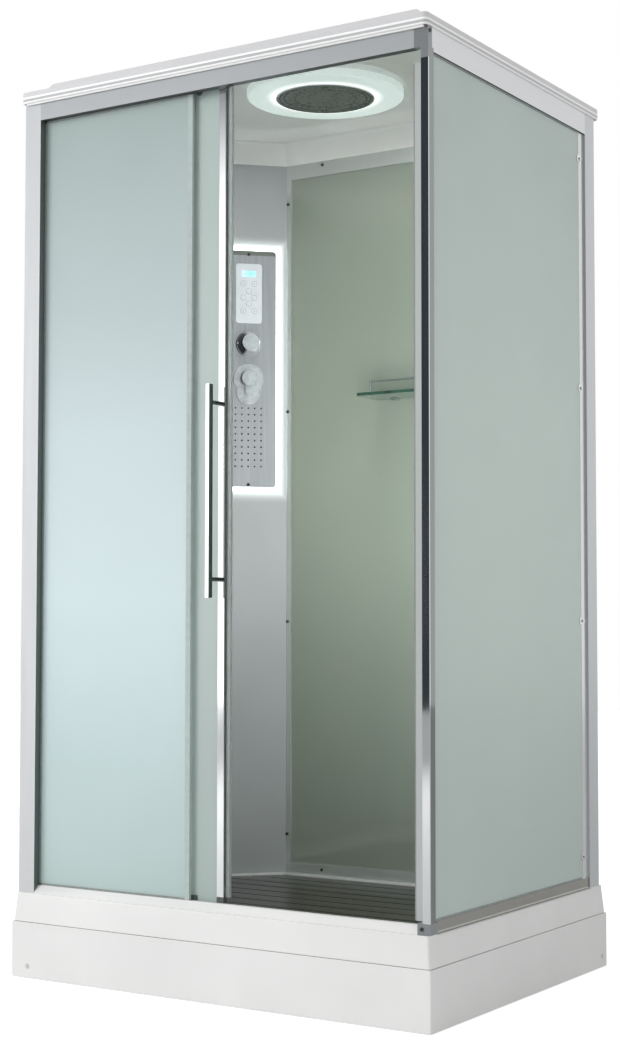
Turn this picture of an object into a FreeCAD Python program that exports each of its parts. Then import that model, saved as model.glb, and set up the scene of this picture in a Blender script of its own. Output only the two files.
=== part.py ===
"""Steam shower cabin, 1150 x 900 mm on plan, 2150 mm to the roof lip.

Frame: millimetres, origin at the floor under the middle of the base, +X to the
right along the front, +Y towards the back, +Z up.  The cabin faces -Y.  The
sliding door is drawn fully open, stacked behind the fixed front glass.
"""
import FreeCAD, Part
import math
import os

V = FreeCAD.Vector
X_AXIS = V(1, 0, 0)
Y_AXIS = V(0, 1, 0)
Z_AXIS = V(0, 0, 1)

# ---------------------------------------------------------------- base
BASE_WIDTH = 1150.0
BASE_DEPTH = 900.0
HALF_WIDTH = BASE_WIDTH / 2
HALF_DEPTH = BASE_DEPTH / 2
APRON_BOTTOM = 2.0
APRON_TOP = 132.0
APRON_WALL = 4.0
APRON_FLANGE = 4.0
APRON_EDGE_R = 3.0
CAP_R = 6.0
CAP_HEIGHT = 2.4
CAP_SINK = 1.5
CAP_LAND = 0.2
CAP_FROM_LEFT = 51.0
CAP_FROM_REAR = 29.0
CAP_Z = 28.5

TRAY_TOP = 200.0
TIER_BOTTOM = APRON_TOP + 1.0
TIER_BOTTOM_INSET = 3.0
TIER_TOP_INSET = 9.0
TIER_EDGE_R = 6.0
SKIRT_INSET = 7.0
SKIRT_BOTTOM = APRON_TOP - 37.0
TRAY_SHELL = 6.0
LEDGE_Z = TRAY_TOP - 32.0
LEDGE_BACK = HALF_DEPTH - 23.0
LEDGE_FRONT = 72.0 - HALF_DEPTH
LEDGE_LEFT = 23.0 - HALF_WIDTH
LEDGE_RIGHT = HALF_WIDTH - 27.0
WELL_FLOOR = LEDGE_Z - 40.0
WELL_LEFT = 75.0 - HALF_WIDTH
WELL_RIGHT = HALF_WIDTH - 55.0
WELL_FRONT = 80.0 - HALF_DEPTH
WELL_BACK = HALF_DEPTH - 65.0
WELL_TO_COLUMN = 14.0

FOOT_R = 25.0
FOOT_PAD = 10.0
FOOT_STEM_R = 6.0
FOOT_X = HALF_WIDTH - 125.0
FOOT_Y = HALF_DEPTH - 55.0
FOOT_TAPER = 0.7
NUT_FLATS = 19.0
NUT_HEIGHT = 10.0
THREAD_PLAY = 0.05
BAR_SIZE = 30.0
BAR_WALL = 2.0
LONG_BAR_Y = HALF_DEPTH - 130.0
LONG_BAR_END = HALF_WIDTH - 23.0
CROSS_BAR_END = HALF_DEPTH - 20.0

DRAIN_FROM_LEFT = 325.0
DRAIN_FROM_BACK = 300.0
DRAIN_X = DRAIN_FROM_LEFT - HALF_WIDTH
DRAIN_Y = HALF_DEPTH - DRAIN_FROM_BACK
DRAIN_FLANGE_R = 56.0
DRAIN_FLANGE = 3.0
DRAIN_BODY_R = 43.0
DRAIN_BODY_Z = 33.0
DRAIN_WALL = 3.0
COLLAR_R = 23.0
COLLAR_LENGTH = 8.0
SPIGOT_R = 20.0
SPIGOT_LENGTH = 60.0
SPIGOT_BORE_R = 17.0
SPIGOT_Z = DRAIN_BODY_Z + 25.0

BOARD_COUNT = 11
BOARD_GAP = 5.6
BOARD_THICK = 22.0
BOARD_TOP = LEDGE_Z - 5.0
BOARD_EDGE_PLAY = 5.0
BEARER_WIDTH = 30.0
BEARER_SHARES = (0.08, 0.36, 0.65, 0.93)

# ---------------------------------------------------------------- frame
FRAME_HALF = HALF_WIDTH - 9.0
FRAME_FRONT = 14.0 - HALF_DEPTH
FRAME_TOP = 2129.0
TUBE_WALL = 2.0
PROFILE_WALL = 2.5

LEFT_POST_WIDTH = 48.0
LEFT_POST_DEPTH = 20.0
POST_HOOK_Y = FRAME_FRONT + 70.0
POST_HOOK_X = 16.0 - FRAME_HALF

CORNER_POST_WIDTH = 18.0
CORNER_POST_DEPTH = 24.0
CORNER_LEG = 3.0
CORNER_LEG_BACK = FRAME_FRONT + 50.0
CORNER_SLEEVE = 24.0
BLOCK_LEFT = FRAME_HALF - 30.5
BLOCK_BACK = FRAME_FRONT + 32.0
BLOCK_TOP = TRAY_TOP + 24.0
CAP_BLOCK_LEFT = FRAME_HALF - 35.0
CAP_BLOCK_BACK = FRAME_FRONT + 17.0

TOP_RAIL_BOTTOM = FRAME_TOP - 51.0
TOP_RAIL_BACK = FRAME_FRONT + 57.0
TRACK_TOP = FRAME_TOP - 33.0
TRACK_FRONT = FRAME_FRONT + 42.2
TRACK_THICK = 3.0

REAR_POST_WIDTH = 25.0
REAR_POST_DEPTH = 54.0
REAR_POST_BACK = HALF_DEPTH - 25.0
REAR_POST_FRONT = REAR_POST_BACK - REAR_POST_DEPTH

SIDE_RAIL_BOTTOM = FRAME_TOP - 59.0
SIDE_RAIL_DEPTH = 21.0
SIDE_RAIL_LEDGE = FRAME_TOP - 12.0
SIDE_SILL_TOP = TRAY_TOP + 26.0
SIDE_SILL_WIDTH = 15.0

THRESHOLD_TOP = TRAY_TOP + 18.0
THRESHOLD_TOE = 3.0
THRESHOLD_NOSE_Y = FRAME_FRONT + 17.0
THRESHOLD_INNER_Y = FRAME_FRONT + 27.0
GUIDE_RIB_TOP = TRAY_TOP + 8.0
GUIDE_RIB = 3.0
GUIDE_RIB_PLAY = 0.8
THRESHOLD_BACK = FRAME_FRONT + 52.0

# ---------------------------------------------------------------- glass
GLASS = 5.0
FIXED_GLASS_FRONT = FRAME_FRONT + 20.0
FIXED_GLASS_LEFT = 10.0 - FRAME_HALF
FIXED_GLASS_RIGHT = -71.0
FIXED_GLASS_BOTTOM = TRAY_TOP + 8.0
GLASS_TOP = FRAME_TOP - 31.0
EDGE_TRIM_WIDTH = 12.0
EDGE_TRIM_WALL = 1.2
EDGE_TRIM_BOTTOM = THRESHOLD_TOP + 1.0
EDGE_TRIM_TOP = TOP_RAIL_BOTTOM - 1.0
SIDE_GLASS_OUTER = FRAME_HALF - 5.0
SIDE_GLASS_FRONT = FRAME_FRONT + 24.0
SIDE_GLASS_BACK = REAR_POST_FRONT - 29.0
SIDE_GLASS_GRIP = 10.0
SIDE_CLIP_COUNT = 4
SIDE_CLIP_LOW = SIDE_SILL_TOP + 53.0
SIDE_CLIP_HIGH = SIDE_RAIL_BOTTOM - 67.0
SIDE_CLIP_LENGTH = 22.0
SIDE_CLIP_HEIGHT = 16.0
SIDE_CLIP_PROUD = 1.5
SIDE_CLIP_CORNER_R = 3.2

# ---------------------------------------------------------------- door
DOOR_FRONT = FRAME_FRONT + 33.5
DOOR_GLASS_LEFT = 4.0 - FRAME_HALF
DOOR_GLASS_RIGHT = 8.0
DOOR_BOTTOM = TRAY_TOP + 9.0
EDGE_LEFT = 0.0
EDGE_WIDTH = 20.0
EDGE_DEPTH = 16.0
EDGE_WALL = 1.8
EDGE_CORNER_R = 1.5
END_CAP = 22.0
EDGE_TOP = TRACK_TOP - 5.0
SEAL_WIDTH = 13.0
SEAL_NECK = 5.2
SEAL_DEPTH = 8.0
SEAL_TOP = TOP_RAIL_BOTTOM + 5.0
STRIKE_GAP = 0.3
STRIKE_SEAL_WIDTH = 6.0
STRIKE_WIDTH = 30.0
STRIKE_DEPTH = 18.0

HANDLE_X = 0.0
HANDLE_WIDTH = 12.0
HANDLE_DEPTH = 14.0
HANDLE_FRONT = FRAME_FRONT - 14.0
HANDLE_BOTTOM = 905.0
HANDLE_TOP = 1391.0
HANDLE_EDGE_R = 1.5
HANDLE_POST_R = 5.5
HANDLE_POST_Z = (HANDLE_BOTTOM + 42.0, HANDLE_TOP - 41.0)

WHEEL_R = 11.0
WHEEL_WIDTH = 6.0
WHEEL_BORE_PLAY = 0.05
WHEEL_LIFT = 0.3
WHEEL_GROOVE = 1.0
AXLE_R = 3.0
AXLE_PROUD = 1.0
WHEEL_X = (66.0 - FRAME_HALF, -60.0)
CARRIER_BOLT_Z = TRACK_TOP - 13.0
CARRIER_WIDTH = 26.0
CARRIER_PLATE = 3.0
CARRIER_BOTTOM = TRACK_TOP - 26.0
CARRIER_CORNER_R = 5.2
CARRIER_RISE = 8.8
BOLT_HEAD_R = 8.0
BOLT_HEAD = 3.0
BOLT_R = 3.5
WHEEL_SIDE_GAP = 2.0
SHOE_X = (66.0 - FRAME_HALF, -72.0)
SHOE_LENGTH = 30.0
SHOE_WALL = 3.0
SHOE_TOP = DOOR_BOTTOM + 20.0

# ---------------------------------------------------------------- walls
WALL_TOP = SIDE_RAIL_LEDGE
WALL_BOTTOM = LEDGE_Z
STRIP_DEPTH = 25.0
BACK_STRIP_FRONT = REAR_POST_BACK - STRIP_DEPTH
STRIP_WIDTH = 20.0
STRIP_LAP = 5.5
TOP_STRIP_HEIGHT = 40.0
TOP_STRIP_SCREW_DROP = TOP_STRIP_HEIGHT / 4
BOTTOM_STRIP_HEIGHT = 27.0
GLASS_SETBACK = 5.0
GLASS_GRIP = 6.0
LEFT_STRIP_FACE = 49.0 - FRAME_HALF
SIDE_STRIP_THICK = 10.0

# ---------------------------------------------------------------- column
COLUMN_X = 219.0 - FRAME_HALF
COLUMN_WALL = 3.0
COLUMN_RETURN = 22.0
PANEL_OFFSET = 109.0
PANEL_WIDTH = 155.0
PANEL_TOP = 1874.5
PANEL_HEIGHT = 655.5
PANEL_BOTTOM = PANEL_TOP - PANEL_HEIGHT
PANEL_THICK = 3.0
PANEL_CORNER_R = 9.0
HALO_MARGIN = 16.0
HALO_THICK = 6.0
FASCIA_WIDTH = 73.0
FASCIA_TOP = PANEL_TOP - 37.5
FASCIA_BOTTOM = FASCIA_TOP - 165.5
FASCIA_THICK = 3.0
FASCIA_CORNER_R = 8.0
LCD_WIDTH = 39.0
LCD_HEIGHT = 17.0
LCD_Z = FASCIA_TOP - 28.0
KEY_R = 7.0
KEY_PLAY = 0.3
KEY_PROUD = 1.0
KEY_THICK = 3.0
KEY_EDGE_R = 0.6
KEY_SIDE = 15.5
KEYS = {
    "key_power": (-KEY_SIDE, FASCIA_TOP - 55.0),
    "key_light": (KEY_SIDE, FASCIA_TOP - 55.0),
    "key_up": (0.0, FASCIA_TOP - 76.0),
    "key_left": (-KEY_SIDE, FASCIA_TOP - 94.0),
    "key_right": (KEY_SIDE, FASCIA_TOP - 94.0),
    "key_down": (0.0, FASCIA_TOP - 111.0),
    "key_steam": (-KEY_SIDE, FASCIA_TOP - 131.0),
    "key_fan": (KEY_SIDE, FASCIA_TOP - 131.0),
}
MIXER_Z = PANEL_TOP - 260.5
MIXER_PLATE_R = 35.5
MIXER_PLATE = 5.0
MIXER_PLATE_RIM = MIXER_PLATE * 0.4
MIXER_KNOB_R = 33.0
MIXER_CAP_R = 24.5
MIXER_KNOB_LENGTH = 33.0
DIVERTER_Z = MIXER_Z - 96.0
DIVERTER_PLATE_R = 41.5
LOBE_R = 34.0
LOBE_DROP = 38.0
DIVERTER_PLATE = 4.0
DIVERTER_KNOB_R = 22.5
DIVERTER_KNOB_LENGTH = 15.0
LEVER_WIDTH = 21.0
LEVER_REACH = 44.0
LEVER_THICK = 6.0
KNOB_GAP = 0.4
SPINDLE_R = 5.0
SPINDLE_PLAY = 0.08
PLATE_BORE_PLAY = 1.5
KNOB_HOLLOW_SHARE = 0.6
SPINDLE_GRIP = 12.0
JET_COLUMNS = 5
JET_ROWS = 10
JET_PITCH = 17.9
JET_OPENING_MARGIN = JET_PITCH * 0.6
JET_SHEET_MARGIN = JET_PITCH * 0.4
JET_TOP_Z = DIVERTER_Z - 81.1
JET_HOLE_R = 2.4
JET_TIP_R = 2.1
JET_TIP_SINK = 1.0
PANEL_SCREW_Z = (PANEL_BOTTOM + 6.8, PANEL_TOP - 11.0)

# ---------------------------------------------------------------- plumbing
VALVE_R = 22.0
VALVE_HOLE_PLAY = 1.0
VALVE_LENGTH = 44.0
DIVERTER_VALVE_R = 19.0
VALVE_BACK_GAP = 0.5
LINK_R = 8.0
INLET_R = 10.48
INLET_ACROSS = 39.0
INLET_ARM_R = 9.0
INLET_ELBOW_R = 13.0
INLET_SHOULDER = 44.0
INLET_LENGTH = 34.0
MANIFOLD_DEPTH = 20.0
RISER_R = 7.5
RISER_BEND = 26.0
RISER_DROP_BEND = 16.0
RISER_HOLE_PLAY = 1.5
RISER_SEAT_WALL = 3.0
ROOF_RUN_Y = HALF_DEPTH - 98.0
ROOF_RUN_X = -28.0
STEAM_BOX_WIDTH = 130.0
STEAM_BOX_DEPTH = 80.0
STEAM_BOX_BOTTOM = 300.0
STEAM_BOX_HEIGHT = 260.0
STEAM_BOX_WALL = 2.0
STEAM_BOX_CORNER_R = 14.0
STEAM_FEED_R = 9.0
STEAM_PIPE_R = 7.0
STEAM_PIPE_X = LEFT_STRIP_FACE - 40.5
STEAM_OUTLET_Y = 60.0
STEAM_OUTLET_Z = 330.0
STEAM_CAP_R = 30.0
STEAM_CAP_PROUD = 14.0
STEAM_CAP_RIM = 3.0
STEAM_CAP_TAPER = 0.7
STEAM_MOUTH_R = 15.0
STEAM_BEND = 20.0

# ---------------------------------------------------------------- roof
ROOF_HALF = HALF_WIDTH - 5.0
ROOF_LIP_BOTTOM = FRAME_TOP - 7.0
ROOF_LIP_TOP = ROOF_LIP_BOTTOM + 28.0
ROOF_TOP_EDGE_R = 4.0
ROOF_LOW_EDGE_R = 2.5
ROOF_CORNER_R = 12.0
ROOF_SHELL = 4.0
DRIP_STEP = 7.0
DRIP_DEPTH = 12.0
DRIP_DROP = 3.5
DECK_INSET = 35.0
DECK_Z = ROOF_LIP_TOP + 28.0
DECK_TOP_INSET = 55.0
POD_TOP = DECK_Z + 18.0
POD_FRONT = 98.0 - HALF_DEPTH
POD_BACK = HALF_DEPTH - 120.0
POD_CORNER_R = 30.0
POD_EDGE_R = 9.0
LEFT_POD = (73.0 - ROOF_HALF, -77.0)
RIGHT_POD = (16.0, ROOF_HALF - 108.0)
RISER_RUN_Z = DECK_Z + 9.5
ROOF_SEAT_INNER = 20.0
CEILING_Z = DECK_Z - 10.0
CEILING_WALL = 4.0
COVE_RUN = 45.0
COVE_R = 22.0
LIGHT_X = 38.0
LIGHT_Y = -10.0
LIGHT_R = 195.0
LIGHT_THICK = 17.5
LIGHT_EDGE_R = 6.0
HEAD_R = 123.0
HEAD_GAP = 1.0
HEAD_DROP = 3.5
HEAD_RECESS = 6.0
HEAD_EDGE_R = 1.5
HEAD_RIM = 4.0
HEAD_FACE_SINK = 2.0
HEAD_INNER_RATIO = 0.65
HEAD_SPOKES = 6
GROOVE = 1.2
STUB_R = 11.0
STUB_PLAY = 0.5
STUB_HEIGHT = 6.0

# ---------------------------------------------------------------- shelf
SHELF_LEFT = -55.0
SHELF_RIGHT = 345.0
SHELF_FRONT = BACK_STRIP_FRONT - 115.0
SHELF_Z = 1443.0
SHELF_THICK = 8.0
SHELF_CORNER_R = 12.0
SHELF_WALL_GAP = 4.0
SHELF_POST_IN = 38.0
SHELF_POST_BACK = 14.0
SHELF_POST_R = 4.0
SHELF_PIN_R = 2.4
SHELF_NUT = 3.0
SHELF_RAIL_R = 2.5
SHELF_RAIL_RISE = 32.0
CLAMP_R = 9.0
CLAMP_LENGTH = 24.0
CLAMP_IN = 60.0

SCREW_R = 4.5
SCREW_HEAD = 2.5
SCREW_EDGE_R = 1.0
STRIP_SCREW_COUNT = 4
STRIP_SCREW_LOW = WALL_BOTTOM + 103.0
STRIP_SCREW_HIGH = WALL_TOP - 107.0
RAIL_SCREW_SHARES = (0.12, 0.52, 0.92)
CAP_SCREW_DROP = 16.0

OVER = 5.0


# ================================================================ helpers
def box(x0, x1, y0, y1, z0, z1):
    return Part.makeBox(x1 - x0, y1 - y0, z1 - z0, V(x0, y0, z0))


def cyl(radius, length, base, axis=Z_AXIS):
    return Part.makeCylinder(radius, length, V(*base), axis)


def face_of(points):
    return Part.Face(Part.makePolygon([V(*p) for p in points] + [V(*points[0])]))


def prism(outline, z0, z1):
    """Plan outline of (x, y) pairs drawn up from z0 to z1."""
    return face_of([(x, y, z0) for x, y in outline]).extrude(V(0, 0, z1 - z0))


def bar_x(section, x0, x1):
    """Section of (y, z) pairs drawn along X."""
    return face_of([(x0, y, z) for y, z in section]).extrude(V(x1 - x0, 0, 0))


def bar_y(section, y0, y1):
    """Section of (x, z) pairs drawn along Y."""
    return face_of([(x, y0, z) for x, z in section]).extrude(V(0, y1 - y0, 0))


def rectangle(x0, x1, y0, y1):
    return [(x0, y0), (x1, y0), (x1, y1), (x0, y1)]


def hollow_bar(spans, axis, wall):
    """Tube with open ends; spans are the (low, high) pairs along X, Y and Z, axis its own direction."""
    inner = [(low + wall, high - wall) for low, high in spans]
    inner[axis] = (spans[axis][0] - OVER, spans[axis][1] + OVER)
    outer = box(*spans[0], *spans[1], *spans[2])
    return outer.cut(box(*inner[0], *inner[1], *inner[2]))


def evenly(low, high, count):
    return [low + (high - low) * i / (count - 1) for i in range(count)]


def wire_at(outline, z):
    return Part.makePolygon([V(x, y, z) for x, y in outline + outline[:1]])


def loft(low, z0, high, z1):
    return Part.makeLoft([wire_at(low, z0), wire_at(high, z1)], True, True)


def edges_along(shape, axis):
    found = []
    for edge in shape.Edges:
        run = edge.lastVertex().Point - edge.firstVertex().Point
        if run.Length > 1e-6 and abs(abs(run.normalize().dot(axis)) - 1) < 1e-6:
            found.append(edge)
    return found


def rounded(shape, axis, radius):
    return shape.makeFillet(radius, edges_along(shape, axis))


def tube(outline, inner, z0, z1):
    return prism(outline, z0, z1).cut(prism(inner, z0 - OVER, z1 + OVER))


def fused(first, *rest):
    return first.fuse(list(rest)).removeSplitter()


def pipe(route, radius, bends):
    """Round tube along straight runs joined by tangent arcs, one bend radius per corner."""
    points = [V(*p) for p in route]
    edges = []
    start = points[0]
    for before, corner, after, bend in zip(points, points[1:], points[2:], bends):
        into = (corner - before).normalize()
        out = (after - corner).normalize()
        half_turn = into.getAngle(out) / 2
        back = bend * math.tan(half_turn)
        first = corner - into * back
        last = corner + out * back
        towards = (out - into).normalize()
        centre = corner + towards * (bend / math.cos(half_turn))
        middle = centre - towards * bend
        edges.append(Part.LineSegment(start, first).toShape())
        edges.append(Part.Arc(first, middle, last).toShape())
        start = last
    edges.append(Part.LineSegment(start, points[-1]).toShape())
    heading = (points[1] - points[0]).normalize()
    section = Part.Wire(Part.makeCircle(radius, points[0], heading))
    return Part.Wire(edges).makePipeShell([section], True, False)


COLUMN_LINE = COLUMN_X - BACK_STRIP_FRONT
COLUMN_LEFT_Y = LEFT_STRIP_FACE - COLUMN_LINE
ALONG = math.sqrt(0.5)
PANEL_CENTRE = V(COLUMN_X - PANEL_OFFSET * ALONG, BACK_STRIP_FRONT - PANEL_OFFSET * ALONG, 0)
COLUMN_SPAN = (COLUMN_X - LEFT_STRIP_FACE) / ALONG


def on_column(shape):
    """Places a shape drawn with the column's face on y = 0, into the cabin's back-left corner."""
    placed = shape.copy()
    placed.rotate(V(0, 0, 0), Z_AXIS, 45)
    placed.translate(PANEL_CENTRE)
    return placed


def column_point(across, depth, z):
    return (PANEL_CENTRE.x + (across - depth) * ALONG, PANEL_CENTRE.y + (across + depth) * ALONG, z)


def back_left_cut(offset):
    """X - Y of a line parallel to the column's face, moved into the cabin by offset."""
    return COLUMN_LINE + offset / ALONG


def cabin_outline(left, right, front, back, offset):
    """Rectangle with its back-left corner cut parallel to the column's face."""
    line = back_left_cut(offset)
    return [(left, front), (right, front), (right, back), (back + line, back), (left, left - line)]


def rounded_plate(width, bottom, top, y0, y1, radius):
    plate = box(-width / 2, width / 2, y0, y1, bottom, top)
    return rounded(plate, Y_AXIS, radius)


PARTS = {}


def keep(name, *solids):
    PARTS[name] = solids


# ================================================================ base
def inset_rectangle(inset):
    half_x = HALF_WIDTH - inset
    half_y = HALF_DEPTH - inset
    return rectangle(-half_x, half_x, -half_y, half_y)


def shower_tray():
    low = inset_rectangle(TIER_BOTTOM_INSET)
    high = inset_rectangle(TIER_TOP_INSET)
    tier = loft(low, TIER_BOTTOM, high, TRAY_TOP)
    uprights = [e for e in tier.Edges if abs(e.firstVertex().Z - e.lastVertex().Z) > 1]
    tier = tier.makeFillet(TIER_EDGE_R, uprights)
    skirt = rounded(prism(inset_rectangle(SKIRT_INSET), SKIRT_BOTTOM, TIER_BOTTOM), Z_AXIS, TIER_EDGE_R)
    tray = tier.fuse(skirt)
    ledge = cabin_outline(LEDGE_LEFT, LEDGE_RIGHT, LEDGE_FRONT, LEDGE_BACK, -STRIP_DEPTH)
    well = cabin_outline(WELL_LEFT, WELL_RIGHT, WELL_FRONT, WELL_BACK, WELL_TO_COLUMN)
    well_outside = cabin_outline(
        WELL_LEFT - TRAY_SHELL,
        WELL_RIGHT + TRAY_SHELL,
        WELL_FRONT - TRAY_SHELL,
        WELL_BACK + TRAY_SHELL,
        WELL_TO_COLUMN - TRAY_SHELL,
    )
    ledge = rectangle(LEDGE_LEFT, LEDGE_RIGHT, LEDGE_FRONT, LEDGE_BACK)
    tray = tray.cut(prism(ledge, LEDGE_Z, TRAY_TOP + OVER))
    tray = tray.cut(prism(well, WELL_FLOOR, LEDGE_Z + OVER))
    wall = SKIRT_INSET + TRAY_SHELL
    floor_under = WELL_FLOOR - TRAY_SHELL
    tray = tray.cut(prism(inset_rectangle(wall), SKIRT_BOTTOM - OVER, floor_under))
    gutter = prism(inset_rectangle(wall), floor_under - 1, LEDGE_Z - TRAY_SHELL)
    tray = tray.cut(gutter.cut(prism(well_outside, floor_under - OVER, LEDGE_Z)))
    drain = cyl(DRAIN_BODY_R, WELL_FLOOR - floor_under + 2 * OVER, (DRAIN_X, DRAIN_Y, floor_under - OVER))
    return tray.cut(drain)


def apron_section(face, inward):
    """Upright skirt panel with a top flange turned in to the tray: (distance, z) pairs."""
    wall = face + inward * APRON_WALL
    reach = face + inward * SKIRT_INSET
    return [
        (face, APRON_BOTTOM),
        (wall, APRON_BOTTOM),
        (wall, APRON_TOP - APRON_FLANGE),
        (reach, APRON_TOP - APRON_FLANGE),
        (reach, APRON_TOP),
        (face, APRON_TOP),
    ]


def front_apron():
    panel = bar_x(apron_section(-HALF_DEPTH, 1), -HALF_WIDTH, HALF_WIDTH)
    ends = [e for e in edges_along(panel, Z_AXIS) if e.firstVertex().Y < APRON_WALL / 2 - HALF_DEPTH]
    return panel.makeFillet(APRON_EDGE_R, ends).cut(apron_caps())


def side_aprons():
    """Left and right skirts, butted behind the front one."""
    panels = []
    for side in (-1, 1):
        section = apron_section(side * HALF_WIDTH, -side)
        panel = bar_y(section, APRON_WALL - HALF_DEPTH, HALF_DEPTH)
        outer = HALF_WIDTH - APRON_WALL / 2
        ends = [e for e in edges_along(panel, Z_AXIS) if e.firstVertex().Y > 0]
        rear = [e for e in ends if side * e.firstVertex().X > outer]
        panel = panel.makeFillet(APRON_EDGE_R, rear)
        panels.append(panel.cut(front_apron()).cut(apron_caps()))
    return panels


def screw_cap(face, outward):
    """Low domed cover let into the skirt over its fixing screw."""
    base = V(*face) - outward * CAP_SINK
    cap = Part.makeCylinder(CAP_R, CAP_HEIGHT, base, outward)
    return cap.makeFillet(CAP_HEIGHT - CAP_SINK - CAP_LAND, [farthest_circle(cap, outward)])


def apron_caps():
    rear = HALF_DEPTH - CAP_FROM_REAR
    return [
        screw_cap((CAP_FROM_LEFT - HALF_WIDTH, -HALF_DEPTH, CAP_Z), -Y_AXIS),
        screw_cap((HALF_WIDTH, rear, CAP_Z), X_AXIS),
        screw_cap((-HALF_WIDTH, rear, CAP_Z), -X_AXIS),
    ]


def farthest_circle(shape, axis):
    rings = [e for e in shape.Edges if e.Closed and hasattr(e.Curve, "Radius")]
    return max(rings, key=lambda e: e.Curve.Center.dot(axis))


def hexagon(flats, x, y):
    corner = flats / math.sqrt(3)
    turns = [math.radians(60 * i) for i in range(6)]
    return [(x + corner * math.cos(a), y + corner * math.sin(a)) for a in turns]


def foot_places():
    return [(x, y) for x in (-FOOT_X, 0.0, FOOT_X) for y in (-FOOT_Y, FOOT_Y)]


CROSS_BAR_TOP = WELL_FLOOR - TRAY_SHELL - BAR_SIZE
CROSS_BAR_BOTTOM = CROSS_BAR_TOP - BAR_SIZE


def support_frame():
    """Two long square tubes under the tray on three cross tubes with the feet's nuts."""
    half = BAR_SIZE / 2
    solids = []
    for y in (-LONG_BAR_Y, LONG_BAR_Y):
        heights = (CROSS_BAR_TOP, CROSS_BAR_TOP + BAR_SIZE)
        spans = ((-LONG_BAR_END, LONG_BAR_END), (y - half, y + half), heights)
        solids.append(hollow_bar(spans, 0, BAR_WALL))
    for x in (-FOOT_X, 0.0, FOOT_X):
        spans = ((x - half, x + half), (-CROSS_BAR_END, CROSS_BAR_END), (CROSS_BAR_BOTTOM, CROSS_BAR_TOP))
        nuts = []
        for y in (-FOOT_Y, FOOT_Y):
            nut = prism(hexagon(NUT_FLATS, x, y), CROSS_BAR_BOTTOM - NUT_HEIGHT, CROSS_BAR_BOTTOM)
            hole_start = (x, y, CROSS_BAR_BOTTOM - NUT_HEIGHT - OVER)
            hole = cyl(FOOT_STEM_R + THREAD_PLAY, NUT_HEIGHT + OVER, hole_start)
            nuts.append(nut.cut(hole))
        solids.append(fused(hollow_bar(spans, 1, BAR_WALL), *nuts))
    return solids


def levelling_feet():
    solids = []
    for x, y in foot_places():
        pad = Part.makeCone(FOOT_R, FOOT_R * FOOT_TAPER, FOOT_PAD, V(x, y, 0))
        stem = cyl(FOOT_STEM_R, CROSS_BAR_BOTTOM, (x, y, 0))
        solids.append(fused(pad, stem))
    return solids


def drain_waste():
    """Round waste: flange on the well floor, cup below, horizontal spigot to the back."""
    flange = cyl(DRAIN_FLANGE_R, DRAIN_FLANGE, (DRAIN_X, DRAIN_Y, WELL_FLOOR))
    body = cyl(DRAIN_BODY_R - THREAD_PLAY, WELL_FLOOR - DRAIN_BODY_Z, (DRAIN_X, DRAIN_Y, DRAIN_BODY_Z))
    axis_end = (DRAIN_X, DRAIN_Y, SPIGOT_Z)
    shoulder = DRAIN_BODY_R + COLLAR_LENGTH
    collar = cyl(COLLAR_R, shoulder, axis_end, Y_AXIS)
    spigot = cyl(SPIGOT_R, shoulder + SPIGOT_LENGTH, axis_end, Y_AXIS)
    waste = fused(flange, body, collar, spigot)
    floor_z = DRAIN_BODY_Z + DRAIN_WALL
    cup_depth = WELL_FLOOR + DRAIN_FLANGE - floor_z
    cup = cyl(DRAIN_BODY_R - DRAIN_WALL, cup_depth + OVER, (DRAIN_X, DRAIN_Y, floor_z))
    bore = cyl(SPIGOT_BORE_R, shoulder + SPIGOT_LENGTH + OVER, axis_end, Y_AXIS)
    return waste.cut(cup).cut(bore)


def floor_slats():
    front = WELL_FRONT + BOARD_EDGE_PLAY
    back = WELL_BACK - BOARD_EDGE_PLAY
    left = WELL_LEFT + BOARD_EDGE_PLAY
    right = WELL_RIGHT - BOARD_EDGE_PLAY
    pitch = (back - front + BOARD_GAP) / BOARD_COUNT
    under = BOARD_TOP - BOARD_THICK
    plan = cabin_outline(left, right, front, back, WELL_TO_COLUMN + BOARD_EDGE_PLAY)
    outline = prism(plan, WELL_FLOOR - OVER, BOARD_TOP + OVER)
    solids = []
    for row in range(BOARD_COUNT):
        y0 = front + row * pitch
        board = box(left, right, y0, y0 + pitch - BOARD_GAP, under, BOARD_TOP)
        solids.append(board.common(outline))
    for share in BEARER_SHARES:
        x = WELL_LEFT + share * (WELL_RIGHT - WELL_LEFT)
        bearer = box(x - BEARER_WIDTH / 2, x + BEARER_WIDTH / 2, front, back, WELL_FLOOR, under)
        solids.append(bearer.common(outline))
    return solids


# ================================================================ frame
def left_front_post():
    """Hollow front box with a thin side flange that the wall's front strip hooks on."""
    left = -FRAME_HALF
    right = left + LEFT_POST_WIDTH
    back = FRAME_FRONT + LEFT_POST_DEPTH
    flange = left + PROFILE_WALL
    outline = [
        (left, FRAME_FRONT),
        (right, FRAME_FRONT),
        (right, back),
        (flange, back),
        (flange, POST_HOOK_Y),
        (POST_HOOK_X, POST_HOOK_Y),
        (POST_HOOK_X, POST_HOOK_Y + PROFILE_WALL),
        (left, POST_HOOK_Y + PROFILE_WALL),
    ]
    inner = rectangle(left + TUBE_WALL, right - TUBE_WALL, FRAME_FRONT + TUBE_WALL, back - TUBE_WALL)
    return tube(outline, inner, TRAY_TOP, FRAME_TOP)


def corner_post_outline():
    left = FRAME_HALF - CORNER_POST_WIDTH
    back = FRAME_FRONT + CORNER_POST_DEPTH
    return left, back


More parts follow.
